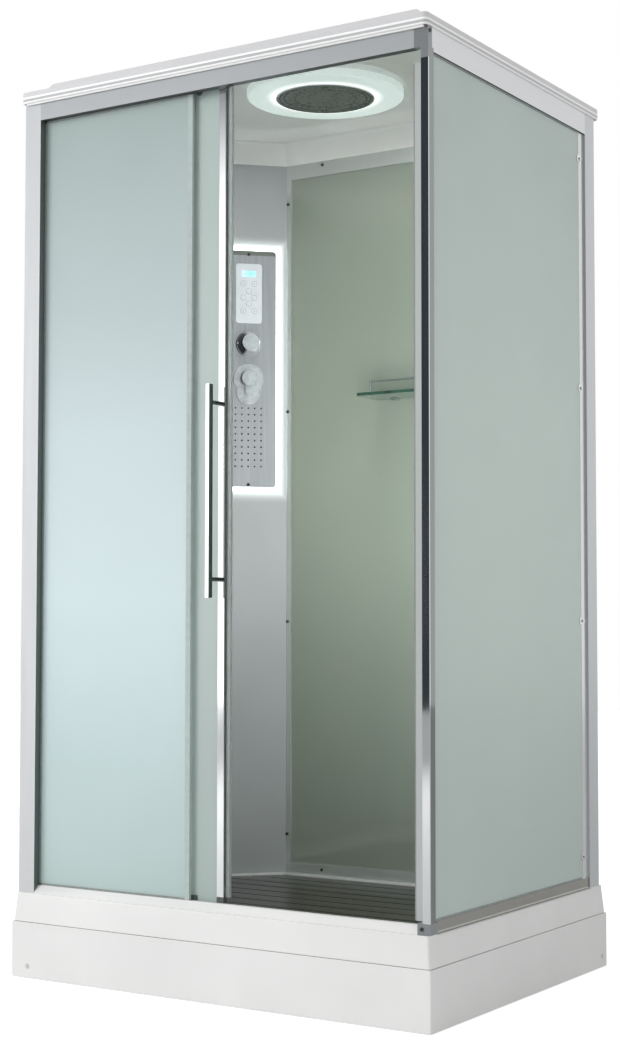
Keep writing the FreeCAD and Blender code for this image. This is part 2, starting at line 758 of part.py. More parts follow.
def corner_post():
    """Bright tube on the near corner with an inner leg for the strike."""
    left, back = corner_post_outline()
    outline = [
        (left, FRAME_FRONT),
        (FRAME_HALF, FRAME_FRONT),
        (FRAME_HALF, back),
        (left + CORNER_LEG, back),
        (left + CORNER_LEG, CORNER_LEG_BACK),
        (left, CORNER_LEG_BACK),
    ]
    inner = rectangle(left + TUBE_WALL, FRAME_HALF - TUBE_WALL, FRAME_FRONT + TUBE_WALL, back - TUBE_WALL)
    return tube(outline, inner, BLOCK_TOP, TOP_RAIL_BOTTOM - CORNER_SLEEVE)


def corner_blocks():
    """Cast corner joints: the foot of the near post, and the top one with its sleeve."""
    left, back = corner_post_outline()
    foot = box(BLOCK_LEFT, FRAME_HALF, FRAME_FRONT, BLOCK_BACK, TRAY_TOP, BLOCK_TOP)
    head = box(CAP_BLOCK_LEFT, FRAME_HALF, FRAME_FRONT, CAP_BLOCK_BACK, TOP_RAIL_BOTTOM, FRAME_TOP)
    sleeve = box(left, FRAME_HALF, FRAME_FRONT, back, TOP_RAIL_BOTTOM - CORNER_SLEEVE, TOP_RAIL_BOTTOM)
    return [foot.cut(side_glass()), fused(head, sleeve)]


def front_top_rail():
    """Head rail: tall front face, glass rebate, closed back and the track lip for the wheels."""
    w = PROFILE_WALL
    rebate = FIXED_GLASS_FRONT
    section = [
        (FRAME_FRONT, TOP_RAIL_BOTTOM),
        (rebate, TOP_RAIL_BOTTOM),
        (rebate, GLASS_TOP + w),
        (rebate - w, GLASS_TOP + w),
        (rebate - w, TOP_RAIL_BOTTOM + w),
        (FRAME_FRONT + w, TOP_RAIL_BOTTOM + w),
        (FRAME_FRONT + w, FRAME_TOP - w),
        (TOP_RAIL_BACK - w, FRAME_TOP - w),
        (TOP_RAIL_BACK - w, TRACK_TOP),
        (TRACK_FRONT, TRACK_TOP),
        (TRACK_FRONT, TRACK_TOP - TRACK_THICK),
        (TOP_RAIL_BACK, TRACK_TOP - TRACK_THICK),
        (TOP_RAIL_BACK, FRAME_TOP),
        (FRAME_FRONT, FRAME_TOP),
    ]
    return bar_x(section, -FRAME_HALF + LEFT_POST_WIDTH, CAP_BLOCK_LEFT)


def threshold():
    """Sill rail: sloping nose, groove for the fixed glass, channel and rib that guide the door."""
    glass_back = FIXED_GLASS_FRONT + GLASS
    floor_z = TRAY_TOP + THRESHOLD_TOE
    rib = DOOR_BACK + SHOE_WALL + GUIDE_RIB_PLAY
    section = [
        (FRAME_FRONT, TRAY_TOP),
        (THRESHOLD_BACK, TRAY_TOP),
        (THRESHOLD_BACK, floor_z),
        (rib + GUIDE_RIB, floor_z),
        (rib + GUIDE_RIB, GUIDE_RIB_TOP),
        (rib, GUIDE_RIB_TOP),
        (rib, floor_z),
        (THRESHOLD_INNER_Y, floor_z),
        (THRESHOLD_INNER_Y, THRESHOLD_TOP),
        (glass_back, THRESHOLD_TOP),
        (glass_back, FIXED_GLASS_BOTTOM),
        (FIXED_GLASS_FRONT, FIXED_GLASS_BOTTOM),
        (FIXED_GLASS_FRONT, THRESHOLD_TOP),
        (THRESHOLD_NOSE_Y, THRESHOLD_TOP),
        (FRAME_FRONT, floor_z),
    ]
    sill = bar_x(section, -FRAME_HALF + PROFILE_WALL, FRAME_HALF - CORNER_POST_WIDTH)
    post = box(
        -FRAME_HALF,
        -FRAME_HALF + LEFT_POST_WIDTH,
        FRAME_FRONT,
        FRAME_FRONT + LEFT_POST_DEPTH,
        TRAY_TOP,
        FRAME_TOP,
    )
    block = box(BLOCK_LEFT, FRAME_HALF, FRAME_FRONT, BLOCK_BACK, TRAY_TOP, BLOCK_TOP)
    return sill.cut(post).cut(block)


def side_top_rail():
    """Right head rail: face, glass groove below and a ledge inside that carries the ceiling."""
    inner = FRAME_HALF - SIDE_RAIL_DEPTH
    glass_in = SIDE_GLASS_OUTER - GLASS
    grip = SIDE_RAIL_BOTTOM + SIDE_GLASS_GRIP
    section = [
        (FRAME_HALF, SIDE_RAIL_BOTTOM),
        (FRAME_HALF, FRAME_TOP),
        (FRAME_HALF - PROFILE_WALL, FRAME_TOP),
        (FRAME_HALF - PROFILE_WALL, SIDE_RAIL_LEDGE),
        (inner, SIDE_RAIL_LEDGE),
        (inner, SIDE_RAIL_BOTTOM),
        (glass_in, SIDE_RAIL_BOTTOM),
        (glass_in, grip),
        (SIDE_GLASS_OUTER, grip),
        (SIDE_GLASS_OUTER, SIDE_RAIL_BOTTOM),
    ]
    rail = bar_y(section, CAP_BLOCK_BACK, REAR_POST_FRONT)
    foot, head = corner_blocks()
    return rail.cut(head)


def side_bottom_rail():
    """Right sill rail with a toe lip and the groove that the side glass stands in."""
    glass_in = SIDE_GLASS_OUTER - GLASS
    inner = FRAME_HALF - SIDE_SILL_WIDTH
    grip = SIDE_SILL_TOP - SIDE_GLASS_GRIP
    lip = TRAY_TOP + THRESHOLD_TOE
    section = [
        (FRAME_HALF, TRAY_TOP),
        (FRAME_HALF, lip),
        (FRAME_HALF - PROFILE_WALL, lip + PROFILE_WALL),
        (FRAME_HALF - PROFILE_WALL, SIDE_SILL_TOP),
        (SIDE_GLASS_OUTER, SIDE_SILL_TOP),
        (SIDE_GLASS_OUTER, grip),
        (glass_in, grip),
        (glass_in, SIDE_SILL_TOP),
        (inner, SIDE_SILL_TOP),
        (inner, TRAY_TOP),
    ]
    return bar_y(section, BLOCK_BACK, REAR_POST_FRONT)


def rear_right_post():
    outline = rectangle(FRAME_HALF - REAR_POST_WIDTH, FRAME_HALF, REAR_POST_FRONT, REAR_POST_BACK)
    inner = rectangle(
        FRAME_HALF - REAR_POST_WIDTH + TUBE_WALL,
        FRAME_HALF - TUBE_WALL,
        REAR_POST_FRONT + TUBE_WALL,
        REAR_POST_BACK - TUBE_WALL,
    )
    return tube(outline, inner, TRAY_TOP, FRAME_TOP)


# ================================================================ glass
def fixed_front_glass():
    return box(
        FIXED_GLASS_LEFT,
        FIXED_GLASS_RIGHT,
        FIXED_GLASS_FRONT,
        FIXED_GLASS_FRONT + GLASS,
        FIXED_GLASS_BOTTOM,
        GLASS_TOP,
    )


def fixed_glass_trim():
    """U-shaped trim pushed on the free edge of the fixed glass."""
    outer = box(
        FIXED_GLASS_RIGHT - EDGE_TRIM_WIDTH,
        FIXED_GLASS_RIGHT + EDGE_TRIM_WALL,
        FIXED_GLASS_FRONT - EDGE_TRIM_WALL,
        FIXED_GLASS_FRONT + GLASS + EDGE_TRIM_WALL,
        EDGE_TRIM_BOTTOM,
        EDGE_TRIM_TOP,
    )
    return outer.cut(fixed_front_glass())


def side_glass():
    return box(
        SIDE_GLASS_OUTER - GLASS,
        SIDE_GLASS_OUTER,
        SIDE_GLASS_FRONT,
        SIDE_GLASS_BACK,
        SIDE_SILL_TOP - SIDE_GLASS_GRIP,
        SIDE_RAIL_BOTTOM + SIDE_GLASS_GRIP,
    )


def side_glass_clips():
    """Clips that hold the rear edge of the side glass to its strip."""
    solids = []
    face = SIDE_GLASS_OUTER + SIDE_CLIP_PROUD
    for z in evenly(SIDE_CLIP_LOW, SIDE_CLIP_HIGH, SIDE_CLIP_COUNT):
        clip = box(
            SIDE_GLASS_OUTER,
            face,
            SIDE_GLASS_BACK - SIDE_CLIP_LENGTH / 2,
            SIDE_GLASS_BACK + SIDE_CLIP_LENGTH / 2,
            z - SIDE_CLIP_HEIGHT / 2,
            z + SIDE_CLIP_HEIGHT / 2,
        )
        clip = rounded(clip, X_AXIS, SIDE_CLIP_CORNER_R)
        head = cyl(SCREW_R, SCREW_HEAD, (face, SIDE_GLASS_BACK + SIDE_CLIP_LENGTH / 4, z), X_AXIS)
        solids.append(fused(clip, head))
    return solids


def side_rear_strip():
    spans = (
        (SIDE_GLASS_OUTER - SIDE_STRIP_THICK, SIDE_GLASS_OUTER),
        (SIDE_GLASS_BACK, REAR_POST_FRONT),
        (SIDE_SILL_TOP, SIDE_RAIL_BOTTOM),
    )
    return hollow_bar(spans, 2, TUBE_WALL)


# ================================================================ door
DOOR_BACK = DOOR_FRONT + GLASS
DOOR_MIDDLE = DOOR_FRONT + GLASS / 2
WHEEL_Z = TRACK_TOP + WHEEL_R + WHEEL_LIFT
WHEEL_FRONT = DOOR_BACK + CARRIER_PLATE + WHEEL_SIDE_GAP
SEAL_LEFT = EDGE_LEFT + EDGE_WIDTH
STRIKE_RIGHT = FRAME_HALF - CORNER_POST_WIDTH
STRIKE_LEFT = STRIKE_RIGHT - STRIKE_WIDTH
STRIKE_SEAL_LEFT = STRIKE_LEFT - STRIKE_SEAL_WIDTH


def door_glass():
    glass = box(DOOR_GLASS_LEFT, DOOR_GLASS_RIGHT, DOOR_FRONT, DOOR_BACK, DOOR_BOTTOM, GLASS_TOP)
    for x in WHEEL_X:
        glass = glass.cut(cyl(BOLT_R, GLASS + 2 * OVER, (x, DOOR_FRONT - OVER, CARRIER_BOLT_Z), Y_AXIS))
    return glass


def door_edge_profile():
    """Bright hollow profile gripping the leading edge of the door glass."""
    front = DOOR_MIDDLE - EDGE_DEPTH / 2
    back = DOOR_MIDDLE + EDGE_DEPTH / 2
    right = EDGE_LEFT + EDGE_WIDTH
    low = DOOR_BOTTOM + END_CAP
    outer = rounded(box(EDGE_LEFT, right, front, back, low, EDGE_TOP), Z_AXIS, EDGE_CORNER_R)
    web = DOOR_GLASS_RIGHT + EDGE_WALL
    hollow = box(web, right - EDGE_WALL, front + EDGE_WALL, back - EDGE_WALL, low - OVER, GLASS_TOP + OVER)
    slot = box(EDGE_LEFT - OVER, DOOR_GLASS_RIGHT, DOOR_FRONT, DOOR_BACK, low - OVER, GLASS_TOP + OVER)
    return outer.cut(hollow).cut(slot)


def door_end_cap():
    """Plastic foot under the bright profile."""
    front = DOOR_MIDDLE - EDGE_DEPTH / 2
    back = DOOR_MIDDLE + EDGE_DEPTH / 2
    cap = box(EDGE_LEFT, EDGE_LEFT + EDGE_WIDTH, front, back, DOOR_BOTTOM, DOOR_BOTTOM + END_CAP)
    cap = rounded(cap, Z_AXIS, EDGE_CORNER_R)
    slot = box(EDGE_LEFT - OVER, DOOR_GLASS_RIGHT, DOOR_FRONT, DOOR_BACK, DOOR_BOTTOM - OVER, GLASS_TOP)
    return cap.cut(slot)


def door_seal():
    """Soft magnetic seal: a thin neck on the profile and a wider magnet pocket."""
    neck = box(
        SEAL_LEFT,
        SEAL_LEFT + SEAL_NECK,
        DOOR_MIDDLE - SEAL_DEPTH / 4,
        DOOR_MIDDLE + SEAL_DEPTH / 4,
        DOOR_BOTTOM + END_CAP,
        SEAL_TOP,
    )
    pocket = box(
        SEAL_LEFT + SEAL_NECK,
        SEAL_LEFT + SEAL_WIDTH,
        DOOR_MIDDLE - SEAL_DEPTH / 2,
        DOOR_MIDDLE + SEAL_DEPTH / 2,
        DOOR_BOTTOM + END_CAP,
        SEAL_TOP,
    )
    return fused(neck, pocket)


def strike_profile():
    spans = (
        (STRIKE_LEFT, STRIKE_RIGHT),
        (DOOR_MIDDLE - STRIKE_DEPTH / 2, DOOR_MIDDLE + STRIKE_DEPTH / 2),
        (BLOCK_TOP, TOP_RAIL_BOTTOM - CORNER_SLEEVE),
    )
    return hollow_bar(spans, 2, TUBE_WALL)


def strike_seal():
    return box(
        STRIKE_SEAL_LEFT,
        STRIKE_LEFT,
        DOOR_MIDDLE - SEAL_DEPTH / 2,
        DOOR_MIDDLE + SEAL_DEPTH / 2,
        BLOCK_TOP,
        TOP_RAIL_BOTTOM - CORNER_SLEEVE,
    )


def door_handle():
    """Flat bar handle on two round posts."""
    back = HANDLE_FRONT + HANDLE_DEPTH
    half = HANDLE_WIDTH / 2
    grip = box(HANDLE_X - half, HANDLE_X + half, HANDLE_FRONT, back, HANDLE_BOTTOM, HANDLE_TOP)
    grip = rounded(grip, Z_AXIS, HANDLE_EDGE_R)
    reach = DOOR_MIDDLE - EDGE_DEPTH / 2 - back
    posts = [cyl(HANDLE_POST_R, reach, (HANDLE_X, back, z), Y_AXIS) for z in HANDLE_POST_Z]
    return fused(grip, *posts)


def door_fittings():
    """Wheel carriers bolted through the glass, guide shoes under its bottom edge, and the end cap."""
    solids = []
    half = CARRIER_WIDTH / 2
    axle_length = WHEEL_FRONT + WHEEL_WIDTH + AXLE_PROUD - DOOR_BACK
    for x in WHEEL_X:
        top = WHEEL_Z + CARRIER_RISE
        plate = box(x - half, x + half, DOOR_BACK, DOOR_BACK + CARRIER_PLATE, CARRIER_BOTTOM, top)
        plate = rounded(plate, Y_AXIS, CARRIER_CORNER_R)
        axle = cyl(AXLE_R, axle_length, (x, DOOR_BACK, WHEEL_Z), Y_AXIS)
        head_front = DOOR_FRONT - BOLT_HEAD
        head = cyl(BOLT_HEAD_R, BOLT_HEAD, (x, head_front, CARRIER_BOLT_Z), Y_AXIS)
        bolt = cyl(BOLT_R - THREAD_PLAY, DOOR_BACK - head_front, (x, head_front, CARRIER_BOLT_Z), Y_AXIS)
        solids.append(fused(plate, axle, head, bolt))
    for x in SHOE_X:
        shoe = box(
            x - SHOE_LENGTH / 2,
            x + SHOE_LENGTH / 2,
            DOOR_FRONT - SHOE_WALL,
            DOOR_BACK + SHOE_WALL,
            DOOR_BOTTOM - SHOE_WALL,
            SHOE_TOP,
        )
        slot = box(
            x - SHOE_LENGTH,
            x + SHOE_LENGTH,
            DOOR_FRONT,
            DOOR_BACK,
            DOOR_BOTTOM,
            SHOE_TOP + OVER,
        )
        solids.append(shoe.cut(slot))
    return solids + [door_end_cap()]


def roller(x):
    """Grooved wheel with a running bore, standing on the track lip."""
    half = WHEEL_WIDTH / 2
    profile = [
        (AXLE_R + WHEEL_BORE_PLAY, -half),
        (WHEEL_R, -half),
        (WHEEL_R - WHEEL_GROOVE, -half + WHEEL_GROOVE),
        (WHEEL_R - WHEEL_GROOVE, half - WHEEL_GROOVE),
        (WHEEL_R, half),
        (AXLE_R + WHEEL_BORE_PLAY, half),
    ]
    section = face_of([(r, y, 0) for r, y in profile])
    wheel = section.revolve(V(0, 0, 0), Y_AXIS, 360)
    wheel.translate(V(x, WHEEL_FRONT + half, WHEEL_Z))
    return wheel


# ================================================================ walls
def wall_frame(run, depth, glass, axis):
    """Four hollow strips round a pane; run is its (low, high) along axis, depth across the wall."""
    low, high = run
    spans = [
        ((low, low + STRIP_WIDTH), (WALL_BOTTOM, WALL_TOP)),
        ((high - STRIP_WIDTH, high), (WALL_BOTTOM, WALL_TOP)),
        ((low + STRIP_WIDTH, high - STRIP_WIDTH), (WALL_BOTTOM, WALL_BOTTOM + BOTTOM_STRIP_HEIGHT)),
        ((low + STRIP_WIDTH, high - STRIP_WIDTH), (WALL_TOP - TOP_STRIP_HEIGHT, WALL_TOP)),
    ]
    strips = []
    for index, (along, upright) in enumerate(spans):
        placed = (along, depth, upright) if axis == 0 else (depth, along, upright)
        strips.append(hollow_bar(placed, 2 if index < 2 else axis, TUBE_WALL).cut(glass))
    return strips


def pane_run(run):
    return run[0] + STRIP_WIDTH - GLASS_GRIP, run[1] - STRIP_WIDTH + GLASS_GRIP


PANE_HEIGHT = (WALL_BOTTOM + BOTTOM_STRIP_HEIGHT - GLASS_GRIP, WALL_TOP - TOP_STRIP_HEIGHT + GLASS_GRIP)
BACK_RUN = (COLUMN_X - STRIP_LAP, FRAME_HALF - REAR_POST_WIDTH)
LEFT_RUN = (POST_HOOK_Y, COLUMN_LEFT_Y + STRIP_LAP)


def back_wall():
    """Back pane and the four strips round it."""
    face = BACK_STRIP_FRONT + GLASS_SETBACK
    glass = box(*pane_run(BACK_RUN), face, face + GLASS, *PANE_HEIGHT)
    return glass, wall_frame(BACK_RUN, (BACK_STRIP_FRONT, REAR_POST_BACK), glass, 0)


def left_wall():
    """Left pane and strips, from the door track to the column, with the steam pipe's hole."""
    face = LEFT_STRIP_FACE - GLASS_SETBACK
    glass = box(face - GLASS, face, *pane_run(LEFT_RUN), *PANE_HEIGHT)
    hole_start = (face - GLASS - OVER, STEAM_OUTLET_Y, STEAM_OUTLET_Z)
    hole = cyl(STEAM_PIPE_R + THREAD_PLAY, GLASS + 2 * OVER, hole_start, X_AXIS)
    return glass.cut(hole), wall_frame(LEFT_RUN, (POST_HOOK_X, LEFT_STRIP_FACE), glass, 1)


# ================================================================ column
def corner_column():
    """Folded service column: flat face across the corner, two returns, open at the rear."""
    right = PANEL_OFFSET
    left = PANEL_OFFSET - COLUMN_SPAN
    turn = COLUMN_WALL * math.tan(math.radians(22.5))
    fold = COLUMN_RETURN * ALONG
    outline = [
        (left, 0),
        (right, 0),
        (right - fold, fold),
        (right - fold - COLUMN_WALL * ALONG, fold - COLUMN_WALL * ALONG),
        (right - turn - COLUMN_WALL, COLUMN_WALL),
        (left + turn + COLUMN_WALL, COLUMN_WALL),
        (left + fold + COLUMN_WALL * ALONG, fold - COLUMN_WALL * ALONG),
        (left + fold, fold),
    ]
    column = prism(outline, WALL_BOTTOM, WALL_TOP)
    holes = [
        cyl(VALVE_R + VALVE_HOLE_PLAY, COLUMN_WALL + 2 * OVER, (0, -OVER, MIXER_Z), Y_AXIS),
        cyl(DIVERTER_VALVE_R + VALVE_HOLE_PLAY, COLUMN_WALL + 2 * OVER, (0, -OVER, DIVERTER_Z), Y_AXIS),
        jet_field(-OVER, COLUMN_WALL + OVER, JET_OPENING_MARGIN),
    ]
    for hole in holes:
        column = column.cut(hole)
    return on_column(column)


def jet_field(y0, y1, margin):
    """Box round the whole nozzle field."""
    half = JET_PITCH * (JET_COLUMNS - 1) / 2 + margin
    bottom = JET_TOP_Z - JET_PITCH * (JET_ROWS - 1) - margin
    return box(-half, half, y0, y1, bottom, JET_TOP_Z + margin)


def jet_places():
    places = []
    for row in range(JET_ROWS):
        for column in range(JET_COLUMNS):
            places.append(((column - (JET_COLUMNS - 1) / 2) * JET_PITCH, JET_TOP_Z - row * JET_PITCH))
    return places


HALO_FRONT = -HALO_THICK
PANEL_FRONT = HALO_FRONT - PANEL_THICK
FASCIA_FRONT = PANEL_FRONT - FASCIA_THICK


def led_diffuser():
    """Translucent frame behind the panel, its rim standing out all round."""
    plate = rounded_plate(
        PANEL_WIDTH + 2 * HALO_MARGIN,
        PANEL_BOTTOM - HALO_MARGIN,
        PANEL_TOP + HALO_MARGIN,
        HALO_FRONT,
        0,
        PANEL_CORNER_R + HALO_MARGIN / 2,
    )
    inner = rounded_plate(
        PANEL_WIDTH - 2 * HALO_MARGIN,
        PANEL_BOTTOM + HALO_MARGIN,
        PANEL_TOP - HALO_MARGIN,
        HALO_FRONT - OVER,
        OVER,
        PANEL_CORNER_R,
    )
    return on_column(plate.cut(inner))


def control_panel():
    """Stainless plate with its row of nozzle holes and the two valve holes."""
    panel = rounded_plate(PANEL_WIDTH, PANEL_BOTTOM, PANEL_TOP, PANEL_FRONT, HALO_FRONT, PANEL_CORNER_R)
    front = max(panel.Faces, key=lambda f: -f.CenterOfMass.y if abs(f.normalAt(0, 0).y) > 0.99 else -1e9)
    panel = panel.makeChamfer(1.0, front.Edges)
    reach = PANEL_THICK + 2 * OVER
    holes = []
    for across, z in jet_places():
        holes.append(cyl(JET_HOLE_R, reach, (across, PANEL_FRONT - OVER, z), Y_AXIS))
    holes.append(cyl(VALVE_R + VALVE_HOLE_PLAY, reach, (0, PANEL_FRONT - OVER, MIXER_Z), Y_AXIS))
    holes.append(cyl(DIVERTER_VALVE_R + VALVE_HOLE_PLAY, reach, (0, PANEL_FRONT - OVER, DIVERTER_Z), Y_AXIS))
    return on_column(panel.cut(Part.makeCompound(holes)))


def display_fascia():
    thickness = (FASCIA_FRONT, PANEL_FRONT)
    fascia = rounded_plate(FASCIA_WIDTH, FASCIA_BOTTOM, FASCIA_TOP, *thickness, FASCIA_CORNER_R)
    reach = FASCIA_THICK + 2 * OVER
    holes = [lcd_block()]
    for across, z in KEYS.values():
        holes.append(cyl(KEY_R + KEY_PLAY, reach, (across, FASCIA_FRONT - OVER, z), Y_AXIS))
    return on_column(fascia.cut(Part.makeCompound(holes)))


def lcd_block():
    half = LCD_WIDTH / 2
    return box(-half, half, FASCIA_FRONT, PANEL_FRONT, LCD_Z - LCD_HEIGHT / 2, LCD_Z + LCD_HEIGHT / 2)


def key(across, z):
    """Round push key with a softened front edge."""
    front = FASCIA_FRONT - KEY_PROUD
    body = cyl(KEY_R, KEY_THICK, (across, front, z), Y_AXIS)
    return on_column(body.makeFillet(KEY_EDGE_R, [farthest_circle(body, -Y_AXIS)]))


def turned(profile, z):
    """Solid of revolution about the column's outward axis at height z, from (radius, y) pairs."""
    section = face_of([(r, y, 0) for r, y in profile])
    shape = section.revolve(V(0, 0, 0), Y_AXIS, 360)
    shape.translate(V(0, 0, z))
    return shape


MIXER_FACE = PANEL_FRONT - MIXER_PLATE
DIVERTER_FACE = PANEL_FRONT - DIVERTER_PLATE


def escutcheons():
    """Cover plates behind the two controls: a round one, and a figure of eight with a raised rim."""
    bore = SPINDLE_R + PLATE_BORE_PLAY
    mixer = turned(
        [
            (bore, PANEL_FRONT),
            (MIXER_PLATE_R, PANEL_FRONT),
            (MIXER_PLATE_R, PANEL_FRONT - MIXER_PLATE_RIM),
            (MIXER_PLATE_R - 1.5, MIXER_FACE),
            (bore, MIXER_FACE),
        ],
        MIXER_Z,
    )
    upper = cyl(DIVERTER_PLATE_R, DIVERTER_PLATE, (0, DIVERTER_FACE, DIVERTER_Z), Y_AXIS)
    lower = cyl(LOBE_R, DIVERTER_PLATE, (0, DIVERTER_FACE, DIVERTER_Z - LOBE_DROP), Y_AXIS)
    plate = upper.fuse(lower).removeSplitter()
    rim = 3.0
    sunk = DIVERTER_PLATE / 2
    dish = cyl(DIVERTER_PLATE_R - rim, sunk + OVER, (0, DIVERTER_FACE - OVER, DIVERTER_Z), Y_AXIS)
    dish_low = cyl(LOBE_R - rim, sunk + OVER, (0, DIVERTER_FACE - OVER, DIVERTER_Z - LOBE_DROP), Y_AXIS)
    plate = plate.cut(dish.fuse(dish_low))
    plate = plate.cut(cyl(bore, DIVERTER_PLATE + 2 * OVER, (0, DIVERTER_FACE - OVER, DIVERTER_Z), Y_AXIS))
    return [on_column(mixer), on_column(plate)]


def mixer_knob():
    """Conical knob with a flat cap and a small pointer on its rim."""
    back = MIXER_FACE - KNOB_GAP
    front = back - MIXER_KNOB_LENGTH
    socket = SPINDLE_R + SPINDLE_PLAY
    deep = MIXER_KNOB_LENGTH * KNOB_HOLLOW_SHARE
    knob = turned(
        [
            (socket, back),
            (MIXER_KNOB_R, back),
            (MIXER_KNOB_R, back - 4),
            (MIXER_CAP_R + 1, front + 3),
            (MIXER_CAP_R - 1, front),
            (0, front),
            (0, back - deep),
            (socket, back - deep),
        ],
        MIXER_Z,
    )
    pointer = box(-MIXER_KNOB_R - 2, -MIXER_CAP_R, back - 12, back - 2, MIXER_Z - 3, MIXER_Z + 3)
    return on_column(fused(knob, pointer))


def diverter_knob():
    """Round knob whose flat lever hangs over the lower lobe."""
    back = DIVERTER_FACE - KNOB_GAP
    front = back - DIVERTER_KNOB_LENGTH
    socket = SPINDLE_R + SPINDLE_PLAY
    deep = DIVERTER_KNOB_LENGTH * KNOB_HOLLOW_SHARE
    knob = turned(
        [
            (socket, back),
            (DIVERTER_KNOB_R, back),
            (DIVERTER_KNOB_R, front + 1.5),
            (DIVERTER_KNOB_R - 1.5, front),
            (0, front),
            (0, back - deep),
            (socket, back - deep),
        ],
        DIVERTER_Z,
    )
    half = LEVER_WIDTH / 2
    lever = box(-half, half, back - LEVER_THICK, back, DIVERTER_Z - LEVER_REACH, DIVERTER_Z - SPINDLE_R - 3)
    lever = lever.makeFillet(LEVER_WIDTH / 3, lowest_edges(lever))
    return on_column(fused(knob, lever))


def lowest_edges(shape):
    bottom = shape.BoundBox.ZMin
    return [e for e in edges_along(shape, Y_AXIS) if abs(e.firstVertex().Z - bottom) < 1e-6]


def valve_block():
    """Brass mixing valve and diverter with their link, inlet tails, spindles, and the nozzle manifold."""
    start = VALVE_BACK_GAP
    mixer = cyl(VALVE_R, VALVE_LENGTH, (0, start, MIXER_Z), Y_AXIS)
    diverter = cyl(DIVERTER_VALVE_R, VALVE_LENGTH, (0, start, DIVERTER_Z), Y_AXIS)
    middle = start + VALVE_LENGTH / 2
    link = cyl(LINK_R, MIXER_Z - DIVERTER_Z, (0, middle, DIVERTER_Z))
    down = cyl(LINK_R, DIVERTER_Z - JET_TOP_Z, (0, middle, JET_TOP_Z))
    inlets = [cyl(INLET_ARM_R, 2 * INLET_ACROSS, (-INLET_ACROSS, middle, MIXER_Z), X_AXIS)]
    for across in (-INLET_ACROSS, INLET_ACROSS):
        elbow_start = middle - INLET_ELBOW_R
        elbow_length = INLET_SHOULDER - elbow_start
        inlets.append(cyl(INLET_ELBOW_R, elbow_length, (across, elbow_start, MIXER_Z), Y_AXIS))
        inlets.append(cyl(INLET_R, INLET_LENGTH, (across, INLET_SHOULDER, MIXER_Z), Y_AXIS))
    mixer_spindle = cyl(SPINDLE_R, -MIXER_FACE + KNOB_GAP + SPINDLE_GRIP + start, (0, 0, 0), Y_AXIS)
    mixer_spindle.translate(V(0, MIXER_FACE - KNOB_GAP - SPINDLE_GRIP, MIXER_Z))
    short_grip = DIVERTER_KNOB_LENGTH * 0.5
    diverter_spindle = cyl(SPINDLE_R, -DIVERTER_FACE + KNOB_GAP + short_grip + start, (0, 0, 0), Y_AXIS)
    diverter_spindle.translate(V(0, DIVERTER_FACE - KNOB_GAP - short_grip, DIVERTER_Z))
    manifold = jet_field(start, start + MANIFOLD_DEPTH, JET_PITCH * 0.5)
    outlet = cyl(RISER_R + RISER_SEAT_WALL, 2 * VALVE_R, (0, middle, MIXER_Z))
    body = fused(mixer, diverter, link, down, *inlets, mixer_spindle, diverter_spindle, manifold, outlet)
    bore = cyl(RISER_R + THREAD_PLAY, VALVE_R, (0, middle, MIXER_Z + VALVE_R))
    return on_column(body.cut(bore))


def jet_nozzles():
    """Soft nozzle strip: one backing sheet with a tip standing in each hole of the panel."""
    sheet = jet_field(HALO_FRONT, VALVE_BACK_GAP, JET_SHEET_MARGIN)
    tips = []
    for across, z in jet_places():
        tip = (across, PANEL_FRONT + JET_TIP_SINK, z)
        tips.append(cyl(JET_TIP_R, PANEL_THICK - JET_TIP_SINK, tip, Y_AXIS))
    return on_column(sheet.fuse(tips))


def riser_route():
    middle = VALVE_BACK_GAP + VALVE_LENGTH / 2
    x, y, z = column_point(0, middle, MIXER_Z + VALVE_R)
    return [
        (x, y, z),
        (x, y, RISER_RUN_Z),
        (ROOF_RUN_X, ROOF_RUN_Y, RISER_RUN_Z),
        (ROOF_RUN_X, LIGHT_Y, RISER_RUN_Z),
        (LIGHT_X, LIGHT_Y, RISER_RUN_Z),
        (LIGHT_X, LIGHT_Y, CEILING_Z),
    ]


def shower_riser():
    return pipe(riser_route(), RISER_R, [RISER_BEND, RISER_BEND, RISER_BEND, RISER_DROP_BEND])


def riser_hole():
    """Room for the riser where it comes through the roof and turns along it."""
    start, corner, far = [V(*p) for p in riser_route()[:3]]
    end = corner + (far - corner).normalize() * 2 * RISER_BEND
    return pipe([start, corner, end], RISER_R + RISER_HOLE_PLAY, [RISER_BEND])


def steam_box(inset):
    half = STEAM_BOX_WIDTH / 2 - inset
    tank = box(
        -half,
        half,
        COLUMN_WALL + inset,
        COLUMN_WALL + STEAM_BOX_DEPTH - inset,
        STEAM_BOX_BOTTOM + inset,
        STEAM_BOX_BOTTOM + STEAM_BOX_HEIGHT - inset,
    )
    return rounded(tank, Z_AXIS, STEAM_BOX_CORNER_R - inset)


def steam_generator():
    """Slim sheet-metal boiler hung on the back of the column, with its water feed hole below."""
    feed = cyl(STEAM_FEED_R, 2 * OVER, (0, COLUMN_WALL + STEAM_BOX_DEPTH / 2, STEAM_BOX_BOTTOM - OVER))
    return on_column(steam_box(0).cut(steam_box(STEAM_BOX_WALL)).cut(feed))


